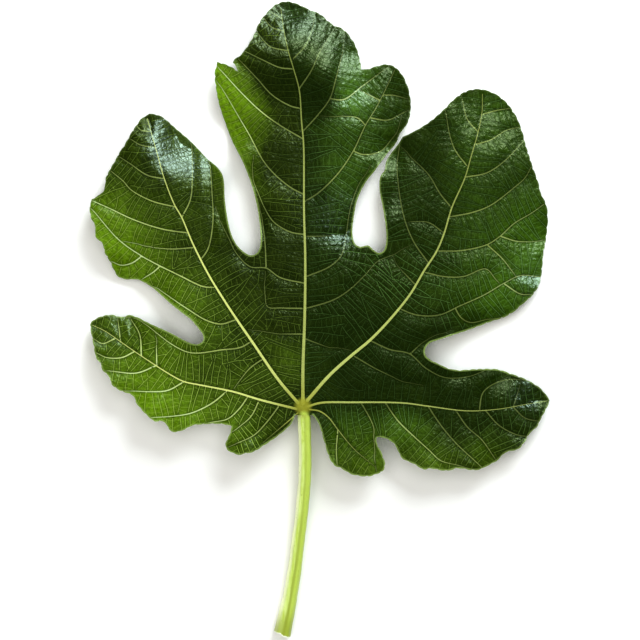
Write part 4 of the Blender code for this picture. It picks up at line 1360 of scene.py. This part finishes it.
def skin_colour(tree, spot, tone, right_half, net):
    """The colour of the skin between the veins."""
    mottle = passage(tree, cloud(tree, spot, MOTTLE_GRAIN, 3.0), *NARROW)
    # The olive left half is partly painted warm light, the cooler right half partly painted sheen
    skin = over(tree, right_half, over(tree, mottle, DEEP_OLIVE, MID_OLIVE),
                over(tree, mottle, DEEP_GREEN, MID_GREEN))
    # The bright end of the tone is partly painted light, its dark end partly painted shade
    bright = over(tree, right_half, WARM_GREEN, FRESH_GREEN)
    skin = over(tree, ramp(tree, tone, 0.0, 1.0), skin, bright)
    skin = over(tree, ramp(tree, tone, 0.0, -1.0), skin, DARK_GREEN)
    spots = passage(tree, cloud(tree, spot, SPOT_GRAIN, 2.0), *SPOTS)
    skin = over(tree, spots, skin, DARK_GREEN)
    # Painted shade in the seams between the puffed cells
    seam_shade = reckon(tree, "MULTIPLY", passage(tree, net, *SEAM_SHADE),
                   ramp(tree, tone, *SEAM_SHADE_BY_TONE))
    skin = over(tree, seam_shade, skin, DARK_GREEN)
    # Painted shade in a band beside each vein, as in its groove
    shade = ramp(tree, tone, *GROOVE_SHADE_BY_TONE)
    for name in ("rung_edge", "side_edge", "main_edge"):
        groove_shade = passage(tree, attribute(tree, name), *GROOVE_SHADE)
        skin = over(tree, reckon(tree, "MULTIPLY", groove_shade, shade), skin, DARK_GREEN)
    return skin


# %% [markdown]
# Veins take part of their look from the skin around them: in the bright lobes they are cream, in
# the dark ones a duller green, and a vein thinner than the picture can show only tints the skin.
# So each kind of vein gets its own tint, mixed from skin and cream by the tone, and all of them
# are then laid on, the smallest first.

# %% Tints of the veins
RUNG_CREAM = (0.25, 0.37, 0.06)
RUNG_GREEN = (0.15, 0.29, 0.075)
SIDE_CREAM = (0.45, 0.55, 0.16)
SIDE_PALE = (0.51, 0.64, 0.30)
RIB_CREAM = (0.60, 0.66, 0.21)
RIB_OLIVE = (0.10, 0.13, 0.025)
HUB_OLIVE = (0.28, 0.28, 0.028)
# How strong a tint is, by the tone, by the half of the leaf, by the vein's width, by the hub
RUNG_BY_TONE = (-0.2, 0.45, 0.16, 0.9)
RUNG_BY_HALF = (0.0, 1.0, 1.0, 0.8)
SIDE_BY_WIDTH = (0.06, 0.30, 0.45, 1.0)
SIDE_BY_TONE = (0.0, 0.5, 0.26, 0.95)
SIDE_BY_HALF = (0.0, 1.0, 1.3, 0.8)
OLIVE_BY_HUB = (3.0, 16.0, 0.6, 0.0)
PALE_TONES = (0.2, 0.7)


def rung_tint(tree, skin, tone, right_half):
    """The tint of cross veins and of the finest net."""
    amount = reckon(tree, "MULTIPLY", ramp(tree, tone, *RUNG_BY_TONE),
                    ramp(tree, right_half, *RUNG_BY_HALF))
    amount = reckon(tree, "MULTIPLY", amount, attribute(tree, "net_light"))
    return over(tree, amount, skin, over(tree, right_half, RUNG_CREAM, RUNG_GREEN))


def side_tint(tree, skin, tone, right_half):
    """The tint of side veins, fainter where they are thin."""
    wide = passage(tree, attribute(tree, "side_half"), *SIDE_BY_WIDTH)
    amount = reckon(tree, "MULTIPLY", wide, ramp(tree, tone, *SIDE_BY_TONE))
    amount = reckon(tree, "MULTIPLY", amount, ramp(tree, right_half, *SIDE_BY_HALF))
    tint = over(tree, ramp(tree, tone, *PALE_TONES), SIDE_CREAM, SIDE_PALE)
    return over(tree, amount, skin, tint)


def rib_tint(tree):
    """The tint of the main ribs, which turn olive where they near the hub."""
    tint = over(tree, attribute(tree, "rib_light"), RIB_OLIVE, RIB_CREAM)
    near_hub = passage(tree, attribute(tree, "from_hub"), *OLIVE_BY_HUB)
    return over(tree, near_hub, tint, HUB_OLIVE)


def vein_colours(tree, skin, veins):
    """Lays the veins over the skin, the smallest first."""
    colour = skin
    for name, half_soft, tint, strength in veins:
        mask = passage(tree, attribute(tree, name), -half_soft, half_soft, strength, 0.0)
        colour = over(tree, mask, colour, tint)
    return colour


# %% [markdown]
# Three places get a last layer of colour: the thin pale rim of the outer lobes, the olive hub,
# and the spot at the hub's lower edge where the leaf passes into its stalk.

# %% Rim, hub and the way to the stalk
RIM_CREAM = (0.26, 0.36, 0.10)
STALK_MID = (0.48, 0.62, 0.10)
RIM_WIDTH = (0.3, 0.85, 1.0, 0.0)
RIM_BY_HUB = (75.0, 115.0, 0.65, 0.15)
HUB_WIDTH = (1.8, 4.2, 0.85, 0.0)
WAY_WIDTH = (0.6, 2.8, 0.95, 0.0)


def with_last_layers(tree, colour):
    """The rim, the hub and the way to the stalk laid over a colour."""
    from_hub = attribute(tree, "from_hub")
    rim = reckon(tree, "MULTIPLY", passage(tree, attribute(tree, "from_margin"), *RIM_WIDTH),
                 ramp(tree, from_hub, *RIM_BY_HUB))
    colour = over(tree, rim, colour, RIM_CREAM)
    colour = over(tree, passage(tree, from_hub, *HUB_WIDTH), colour, HUB_OLIVE)
    to_stalk = passage(tree, attribute(tree, "from_stalk"), *WAY_WIDTH)
    return over(tree, to_stalk, colour, STALK_MID)


# %% [markdown]
# The shine is what tells a living leaf from a paper one. It is strong on the middles of the small
# cells and weak in their seams and along the small veins, so a highlight breaks up into grains.
# Its tint is greenish where the wax is thin, because light passes the skin there, and cooler on
# thick wax. A viewer that can't follow these links falls back on one usual amount of shine.

# %% Shine and puckers
CELL_SIZE = 1.5
USUAL_SHINE = 0.45
GREEN_SHEEN = (0.78, 1.0, 0.50)
COOL_SHEEN = (0.76, 1.0, 0.84)
THICK_WAX = (0.9, 1.7)
SHINE_BY_SEAM = (0.0, 0.10, 0.35, 1.0)
SHINE_BY_VEIN = (0.0, 0.25, 0.28, 0.55)
GLOSS_GRAIN, GLOSSY, GLOSSY_AT_MOST = 3.0, 0.27, 0.36
PUCKER_FOOT = (0.0, 0.32)
PUCKER_DEPTH, PUCKER_STRENGTH = 0.06, 0.7
GRAIN_SIZE, GRAIN_DEPTH, GRAIN_STRENGTH = 0.35, 0.02, 0.6


def add_shine(tree, shader, net):
    """The amount and the tint of the shine."""
    small = reckon(tree, "MINIMUM", attribute(tree, "rung_edge"), attribute(tree, "link_edge"))
    shine = reckon(tree, "MULTIPLY", passage(tree, net, *SHINE_BY_SEAM),
                   passage(tree, small, *SHINE_BY_VEIN))
    wax = attribute(tree, "wax")
    shader.inputs["Specular IOR Level"].default_value = USUAL_SHINE
    put(tree, shader.inputs["Specular IOR Level"], reckon(tree, "MULTIPLY", shine, wax))
    put(tree, shader.inputs["Specular Tint"],
        over(tree, ramp(tree, wax, *THICK_WAX), GREEN_SHEEN, COOL_SHEEN))


def add_puckers(tree, shader, spot, net):
    """Relief finer than the mesh: puffed cells with a fine grain on them."""
    pucker = bump(tree, passage(tree, net, *PUCKER_FOOT), PUCKER_DEPTH, PUCKER_STRENGTH)
    grain = cloud(tree, spot, GRAIN_SIZE, 2.0)
    put(tree, shader.inputs["Normal"], bump(tree, grain, GRAIN_DEPTH, GRAIN_STRENGTH, pucker))


# %% Upper skin
def upper_skin():
    """The glossy upper face."""
    made, tree, shader = new_material("upper_skin")
    spot = place(tree)
    net = cells(tree, spot, CELL_SIZE)
    tone, right_half = leaf_tone(tree, spot), attribute(tree, "right_half")
    skin = skin_colour(tree, spot, tone, right_half, net)
    small = rung_tint(tree, skin, tone, right_half)
    # Each vein's attribute, the softness of its edge in millimetres, its tint and its strength
    colour = vein_colours(tree, skin, (
        ("link_edge", 0.10, small, 0.5), ("rung_edge", 0.11, small, 1.0),
        ("side_edge", 0.10, side_tint(tree, skin, tone, right_half), 0.95),
        ("main_edge", 0.10, rib_tint(tree), 1.0)))
    put(tree, shader.inputs["Base Color"], with_last_layers(tree, colour))
    put(tree, shader.inputs["Roughness"],
        passage(tree, cloud(tree, spot, GLOSS_GRAIN, 3.0), *BROAD, GLOSSY, GLOSSY_AT_MOST))
    add_puckers(tree, shader, spot, net)
    add_shine(tree, shader, net)
    return made


# %% [markdown]
# ## The lower face and the rim
#
# Under the leaf the skin is pale and matt, with a fine down, and the ribs stand out of it, lighter
# still. The mesh is coarser there, so the small net isn't traced but drawn by two sizes of cells.
# The rim is the cut thickness of the sheet, a pale line that catches light.

# %% Lower skin
PALE_GREEN = (0.17, 0.26, 0.085)
PALE_GREEN_DARK = (0.115, 0.19, 0.055)
PALE_VEIN = (0.42, 0.48, 0.20)
RIB_BELOW = (0.56, 0.62, 0.29)
# The size of the cells and how clear their seams are
UNDER_NET = ((1.3, 0.2), (3.2, 0.24))
UNDER_SEAM = (0.02, 0.1)
UNDER_SOFT = 0.3
UNDER_MOTTLE_GRAIN = 5.0
MATT_GRAIN, MATT, MATT_AT_MOST = 2.0, 0.62, 0.78
DOWN_GRAIN, DOWN_DEPTH, DOWN_STRENGTH = 0.4, 0.05, 0.8
UNDER_PUCKER, UNDER_PUCKER_DEPTH, UNDER_PUCKER_STRENGTH = 1.3, 0.12, 0.7


def lower_skin():
    """The matt lower face."""
    made, tree, shader = new_material("lower_skin")
    spot = place(tree)
    mottle = passage(tree, cloud(tree, spot, UNDER_MOTTLE_GRAIN, 4.0), *BROAD)
    skin = over(tree, mottle, PALE_GREEN_DARK, PALE_GREEN)
    for size, strength in UNDER_NET:
        line = passage(tree, cells(tree, spot, size), *UNDER_SEAM, strength, 0.0)
        skin = over(tree, line, skin, PALE_VEIN)
    colour = vein_colours(tree, skin, (
        ("side_edge", UNDER_SOFT, RIB_BELOW, 0.85), ("main_edge", UNDER_SOFT, RIB_BELOW, 1.0)))
    put(tree, shader.inputs["Base Color"], colour)
    put(tree, shader.inputs["Roughness"],
        passage(tree, cloud(tree, spot, MATT_GRAIN), *BROAD, MATT, MATT_AT_MOST))
    down = bump(tree, cloud(tree, spot, DOWN_GRAIN, 3.0), DOWN_DEPTH, DOWN_STRENGTH)
    pucker = bump(tree, cells(tree, spot, UNDER_PUCKER), UNDER_PUCKER_DEPTH,
                  UNDER_PUCKER_STRENGTH, down)
    put(tree, shader.inputs["Normal"], pucker)
    return made


# %% Rim, and all three finishes on the blade
RIM_TINT_GRAIN = 1.5
RIM_GRAIN, RIM_SATIN, RIM_MATT = 0.8, 0.45, 0.6


def rim_skin():
    """The narrow wall round the sheet."""
    made, tree, shader = new_material("rim_skin")
    spot = place(tree)
    patchy = passage(tree, cloud(tree, spot, RIM_TINT_GRAIN), *BROAD)
    put(tree, shader.inputs["Base Color"], over(tree, patchy, RIM_CREAM, WARM_GREEN))
    put(tree, shader.inputs["Roughness"],
        passage(tree, cloud(tree, spot, RIM_GRAIN), *BROAD, RIM_SATIN, RIM_MATT))
    return made


for finish in (upper_skin(), lower_skin(), rim_skin()):
    blade.data.materials.append(finish)
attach(blade, "root")
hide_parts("blade")
print("blade materials:", [m.name for m in blade.data.materials])

# %% [markdown]
# ## The stalk
#
# The stalk is a round, fleshy stem that thickens towards its cut end, with fine ridges along it
# and a shallow furrow on top. It hangs from the hub in a bow and lies on the floor near the cut.
# It is built as rings along a curve, because a ring can be given its own radius at every angle,
# which holds the ridges and the furrow. A curve object with a round bevel couldn't hold them.

# %% The stalk's course
STALK_DIAMETER = 5.2
STALK_END_DIAMETER = 7.2
STALK_STEP = 0.9
THICKENING = 5
REST_SINK = 0.45
START_DROP = 0.4
START_LIFT, LIFT_LENGTH = 0.3, 0.06
LANDING = 0.86
STRAIGHT_SHARE = 0.35
STALK_COURSE = (STALK_START, (0.7, -14), (0.8, -22), (0.6, -30), (-0.1, -38),
                (-0.9, -46), (-2, -54), (-2.9, -62), (-4.1, -70), (-5.5, -78), (-7, -85),
                (-8.5, -92))


def stalk_sections():
    """Place, heading, height, diameter and share of the length of each ring."""
    course = smooth_path(STALK_COURSE, STALK_STEP)
    along = np.linspace(0.0, 1.0, len(course))
    diameter = STALK_DIAMETER + (STALK_END_DIAMETER - STALK_DIAMETER) * along ** THICKENING
    start = HUB_TOP + 0.5 * HUB_KNOB - 0.5 * HUB_DEPTH - START_DROP
    end = 0.5 * STALK_END_DIAMETER - REST_SINK
    fall = 1.0 - np.clip(along / LANDING, 0.0, 1.0)
    bow = STRAIGHT_SHARE * fall + (1.0 - STRAIGHT_SHARE) * fall ** 2
    height = np.maximum(end + (start - end) * bow, 0.5 * diameter - REST_SINK)
    height += START_LIFT * (1.0 - smooth_step(0.0, LIFT_LENGTH, along))
    return course, directions(course), height, diameter, along


# %% [markdown]
# One ring is a circle whose radius changes with the angle. Ridges are a wave round it, the furrow
# is a dip at its top, and two slow waves along the stalk keep it from looking turned on a lathe.
# At the cut, the ring leans and its points move in and out, which gives a slanted, torn edge.

# %% One ring of the stalk
STALK_SIDES = 56
STALK_GROOVE = 0.35
GROOVE_WIDTH = 0.2
RIDGES = 9
RIDGE_HEIGHT = 0.06
RIDGE_WANDER = 1.1
KNOTS = ((0.05, 37.0, 2.0), (0.03, 91.0, -1.0))
KEPT_INSIDE = 0.06


def stalk_radius(turn, across, along):
    """Distance from the stalk's middle to its skin at an angle."""
    furrow = STALK_GROOVE * math.exp(-(math.sin(turn / 2 - math.pi / 4) / GROOVE_WIDTH) ** 2)
    ridge = RIDGE_HEIGHT * math.cos(RIDGES * turn + RIDGE_WANDER * math.sin(4.0 * along))
    knot = sum(size * math.sin(waves * along + turns * turn) for size, waves, turns in KNOTS)
    return 0.5 * across - KEPT_INSIDE - furrow + ridge + knot


def stalk_ring(centre, ahead, middle, across, along, slant=0.0, inner=1.0, tear=0.0, flat=False):
    """The points of one ring round a place on the stalk's course."""
    aside = np.array([1.0, 0.0]) if flat else np.array([-ahead[1], ahead[0]])
    ring = []
    for side in range(STALK_SIDES):
        turn = math.tau * side / STALK_SIDES
        radius = inner * stalk_radius(turn, across, along)
        uneven = tear * (math.sin(3 * turn + 5 * inner) + 0.6 * math.sin(8 * turn + 9 * inner))
        x, y = (centre + aside * radius * math.cos(turn)
                + ahead * (slant * inner * math.cos(turn) + uneven))
        ring.append((x, y, max(0.0, middle + radius * math.sin(turn))))
    return ring


# %% [markdown]
# The stalk has to look grown to the hub, so it starts with two smaller rings hidden inside it.
# The first rings of the stalk stand square to the midrib, and only then turn with the course. At
# the other end, smaller rings close the cut, sunk a little like pith that has begun to dry.

# %% All rings of the stalk
# How far back into the hub each hidden ring lies, how much lower, and its share of the size
INSIDE_HUB = ((2.4, 0.9, 0.6), (1.2, 0.0, 0.95))
SQUARE_RINGS = 2
END_SLANT, SLANTED_RINGS = 0.6, 6
CAP_RINGS, CAP_DEPTH = 7, 0.25
TEAR = 0.225


def stalk_rings():
    """All rings from inside the hub to the middle of the cut, and how many lie before the cap."""
    course, heading, height, diameter, along = stalk_sections()
    rings = [stalk_ring(course[0] - heading[0] * back, heading[0], height[0] - lower,
                        diameter[0], 0.0, inner=inner, flat=True)
             for back, lower, inner in INSIDE_HUB]
    last = len(course) - 1
    for k in range(last + 1):
        slant = END_SLANT * smooth_step(last - SLANTED_RINGS, last, k)
        rings.append(stalk_ring(course[k], heading[k], height[k], diameter[k], along[k],
                                slant=slant, tear=TEAR * (k == last), flat=k < SQUARE_RINGS))
    before_cap = len(rings)
    for step in range(1, CAP_RINGS):
        sunk = course[last] - heading[last] * CAP_DEPTH * min(step, 2)
        rings.append(stalk_ring(sunk, heading[last], height[last], diameter[last], 1.0,
                                slant=END_SLANT, inner=1.0 - step / CAP_RINGS, tear=TEAR))
    return rings, before_cap


def ring_faces(count):
    """Faces that join rings to each other and close both ends."""
    faces = []
    for k in range(count - 1):
        for side in range(STALK_SIDES):
            after = (side + 1) % STALK_SIDES
            a, b = k * STALK_SIDES + side, k * STALK_SIDES + after
            faces.append((a, b, b + STALK_SIDES, a + STALK_SIDES))
    faces.append(tuple(reversed(range(STALK_SIDES))))
    faces.append(tuple((count - 1) * STALK_SIDES + side for side in range(STALK_SIDES)))
    return faces


# %% Build the stalk
STALK_CREASE_ANGLE = 50

rings, before_cap = stalk_rings()
stalk_points = np.array([point for ring in rings for point in ring])
stalk = make_piece("fig_leaf_stalk", stalk_points - np.array([*shift, 0.0]),
                   ring_faces(len(rings)))
stalk.data.shade_smooth()
stalk.data.set_sharp_from_angle(angle=math.radians(STALK_CREASE_ANGLE))
on_cut = np.repeat(np.arange(len(rings)) >= before_cap - 1, STALK_SIDES)
turns = math.tau * np.tile(np.arange(STALK_SIDES) / STALK_SIDES, len(rings))
store(stalk, "cut", on_cut)
store(stalk, "sideways", np.cos(turns))
store(stalk, "from_hub", np.hypot(stalk_points[:, 0], stalk_points[:, 1]))
print("stalk:", len(stalk.data.vertices), "points,", len(stalk.data.polygons), "faces")

# %% [markdown]
# The stalk's skin is a pale yellow-green, with a darker stripe along its furrow and long faint
# streaks. Its left side thins to cream, which is painted light, and its right side is a darker
# green, which is painted shade. Noise that is stretched along the stalk gives the streaks: its
# coordinate is squeezed in the direction of the stalk before it reaches the texture.
# The skin darkens towards the old end, and the cut shows pale pith.

# %% Stalk finish
STALK_LIGHT = (0.62, 0.76, 0.24)
STALK_DARK = (0.28, 0.34, 0.030)
STALK_PAINTED_LIGHT = (0.92, 0.98, 0.62)
CUT_PITH = (0.85, 0.90, 0.70)
STREAK_SQUEEZE, STREAK_GRAIN = 0.07, 0.7
FIBRE_GRAIN, FIBRE_DEPTH, FIBRE_STRENGTH = 0.35, 0.05, 0.7
SATIN_GRAIN, SATIN, SATIN_AT_MOST = 1.2, 0.34, 0.5
# Sideways is -1 on the stalk's left, 0 on its top and 1 on its right
SHADED_RIGHT_SIDE = (-0.4, 0.3, 0.0, 0.9)
LIT_LEFT_SIDE, LEFT_BY_HUB = (-0.9, -0.35, 1.0, 0.0), (4.0, 9.0, 0.4, 1.0)
STRIPE_WIDTH, STRIPE_BY_HUB = (0.05, 0.32, 1.0, 0.0), (20.0, 92.0, 0.3, 0.9)
STRIPE_GRAIN, STRIPE_WANDER = 2.0, 0.3
FRECKLE_GRAIN, FRECKLES = 0.7, (0.60, 0.74, 0.0, 0.4)
OLD_END = (80.0, 91.0, 0.0, 0.7)
OLIVE_START = (3.4, 5.4, 0.45, 0.0)
TEAR_GRAIN, TEAR_SPREAD = 0.5, (-0.25, 0.25)
PITH_START = (0.45, 0.6)


def long_place(tree, spot):
    """The place on the stalk, squeezed along it."""
    node = tree.nodes.new("ShaderNodeMapping")
    tree.links.new(spot, node.inputs["Vector"])
    node.inputs["Scale"].default_value = (1.0, STREAK_SQUEEZE, 1.0)
    return node.outputs["Vector"]


def stalk_bands(tree, long_spot, from_hub, sideways):
    """Streaks, painted shade on the right side, the stripe in the furrow and painted light on the
    left side.
    """
    streaks = passage(tree, cloud(tree, long_spot, STREAK_GRAIN, 3.0), *NARROW)
    colour = over(tree, streaks, STALK_MID, STALK_LIGHT)
    # Painted shade: the right side turns darker
    colour = over(tree, passage(tree, sideways, *SHADED_RIGHT_SIDE), colour, STALK_MID)
    wander = reckon(tree, "MULTIPLY", cloud(tree, long_spot, STRIPE_GRAIN), STRIPE_WANDER)
    beside = reckon(tree, "ABSOLUTE", reckon(tree, "SUBTRACT", sideways, wander), 0.0)
    stripe = reckon(tree, "MULTIPLY", passage(tree, beside, *STRIPE_WIDTH),
                    ramp(tree, from_hub, *STRIPE_BY_HUB))
    colour = over(tree, stripe, colour, STALK_DARK)
    # Painted light: the left side turns cream
    painted_light = reckon(tree, "MULTIPLY", passage(tree, sideways, *LIT_LEFT_SIDE),
                   ramp(tree, from_hub, *LEFT_BY_HUB))
    return over(tree, painted_light, colour, STALK_PAINTED_LIGHT)


def stalk_skin():
    """The satin skin of the stalk."""
    made, tree, shader = new_material("stalk_skin")
    spot = place(tree)
    long_spot = long_place(tree, spot)
    from_hub = attribute(tree, "from_hub")
    colour = stalk_bands(tree, long_spot, from_hub, attribute(tree, "sideways"))
    freckles = passage(tree, cloud(tree, spot, FRECKLE_GRAIN, 2.0), *FRECKLES)
    colour = over(tree, freckles, colour, STALK_DARK)
    colour = over(tree, passage(tree, from_hub, *OLD_END), colour, STALK_DARK)
    colour = over(tree, passage(tree, from_hub, *OLIVE_START), colour, HUB_OLIVE)
    torn = reckon(tree, "ADD", attribute(tree, "cut"),
                  ramp(tree, cloud(tree, spot, TEAR_GRAIN, 2.0), *BROAD, *TEAR_SPREAD))
    colour = over(tree, passage(tree, torn, *PITH_START), colour, CUT_PITH)
    put(tree, shader.inputs["Base Color"], colour)
    put(tree, shader.inputs["Roughness"],
        passage(tree, cloud(tree, spot, SATIN_GRAIN), *BROAD, SATIN, SATIN_AT_MOST))
    fibres = bump(tree, cloud(tree, long_spot, FIBRE_GRAIN, 2.0), FIBRE_DEPTH, FIBRE_STRENGTH)
    put(tree, shader.inputs["Normal"], fibres)
    return made


stalk.data.materials.append(stalk_skin())
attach(stalk, "root")
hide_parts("stalk")
print("stalk material:", stalk.data.materials[0].name)

# %% [markdown]
# ## Floor, light and camera
#
# The leaf lies on a plain pale floor. One large cool light stands low beyond its tip, like a
# window: wherever the skin tilts that way it shines, and the flat parts stay deep green. Two
# broad soft lights fill the rest. They are kept out of mirror-like reflections, so they lift the
# colours without a grey veil. The view's contrast look deepens the shadows the way a printed
# picture does.

# %% Floor
FLOOR_SIZE = 6.0
FLOOR_WHITE = (0.95, 0.95, 0.95)
FLOOR_ROUGHNESS, FLOOR_SHINE = 0.9, 0.1


def make_floor():
    """A large plain square under the leaf."""
    half = 0.5 * FLOOR_SIZE
    mesh = bpy.data.meshes.new("floor")
    mesh.from_pydata([(-half, -half, 0), (half, -half, 0), (half, half, 0), (-half, half, 0)], [],
                     [(0, 1, 2, 3)])
    made = bpy.data.objects.new("floor", mesh)
    bpy.context.scene.collection.objects.link(made)
    material, tree, shader = new_material("floor_paint")
    shader.inputs["Base Color"].default_value = (*FLOOR_WHITE, 1.0)
    shader.inputs["Roughness"].default_value = FLOOR_ROUGHNESS
    shader.inputs["Specular IOR Level"].default_value = FLOOR_SHINE
    mesh.materials.append(material)
    made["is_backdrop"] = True
    return made


floor = make_floor()
print("floor:", floor.name, "of", FLOOR_SIZE, "m")

# %% Lights
LIGHTS = {
    # Azimuth from +X towards +Y and elevation in degrees, distance and size in metres, watts
    "window": (65.0, 35.0, 0.95, 0.5, 8.8, (0.92, 0.98, 1.0), True),
    "bounce": (215.0, 48.0, 0.95, 0.8, 2.6, (1.0, 0.97, 0.88), False),
    "ceiling": (90.0, 88.0, 1.2, 1.2, 8.6, (1.0, 0.99, 0.96), False),
}


def add_light(name, azimuth, elevation, distance, size, power, colour, mirrored):
    """A square area light that faces the leaf."""
    data = bpy.data.lights.new(name, "AREA")
    data.size, data.energy, data.color = size, power, colour
    lamp = bpy.data.objects.new(name, data)
    a, e = math.radians(azimuth), math.radians(elevation)
    away = Vector((math.cos(a) * math.cos(e), math.sin(a) * math.cos(e), math.sin(e)))
    lamp.location = away * distance
    lamp.rotation_mode = "QUATERNION"
    lamp.rotation_quaternion = away.to_track_quat("Z", "Y")
    lamp.visible_glossy = mirrored
    lamp.visible_camera = False
    bpy.context.scene.collection.objects.link(lamp)


for name, values in LIGHTS.items():
    add_light(name, *values)
print("lights:", ", ".join(LIGHTS))

# %% The room's own light and the look
ROOM_TINT = (0.92, 0.96, 1.0, 1.0)
ROOM_STRENGTH = 0.02

world = bpy.data.worlds.new("room")
world.use_nodes = True
backdrop = world.node_tree.nodes["Background"]
backdrop.inputs["Color"].default_value = ROOM_TINT
backdrop.inputs["Strength"].default_value = ROOM_STRENGTH
bpy.context.scene.world = world
bpy.context.scene.view_settings.view_transform = "Standard"
bpy.context.scene.view_settings.look = "Medium High Contrast"
print("room light:", ROOM_STRENGTH, "look:", bpy.context.scene.view_settings.look)

# %% [markdown]
# The camera hangs a metre above the leaf and looks straight down. Its lens is worked out from
# that height and from how much of the floor the picture shows, so both can be changed alone.

# %% Camera
VIEW_WIDTH = 0.256
EYE_HEIGHT = 1.0
LEAF_LEVEL = 0.008
SENSOR = 36.0
MIDDLE = (0.00005, -0.00034)
NEAREST, FARTHEST = 0.05, 20.0


def make_camera():
    """Looks straight down, with the photograph's frame at the leaf's level."""
    data = bpy.data.cameras.new("camera")
    data.sensor_width = SENSOR
    data.lens = SENSOR * (EYE_HEIGHT - LEAF_LEVEL) / VIEW_WIDTH
    made = bpy.data.objects.new("camera", data)
    made.location = (MIDDLE[0], MIDDLE[1], EYE_HEIGHT)
    data.clip_start, data.clip_end = NEAREST, FARTHEST
    bpy.context.scene.collection.objects.link(made)
    return made


bpy.context.scene.camera = make_camera()
print("lens:", round(bpy.context.scene.camera.data.lens, 1), "mm")

# %% [markdown]
# ## The size of both boxes
#
# The looks are meant to fill the plain model's box and no more, so both sizes are printed.

# %% Measure and finish
look_box = [list(corner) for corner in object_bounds()]
for name, (low, high) in (("plain", cad_box), ("looks", look_box)):
    print(name, "size in mm:", [round((b - a) / MM, 1) for a, b in zip(low, high)])
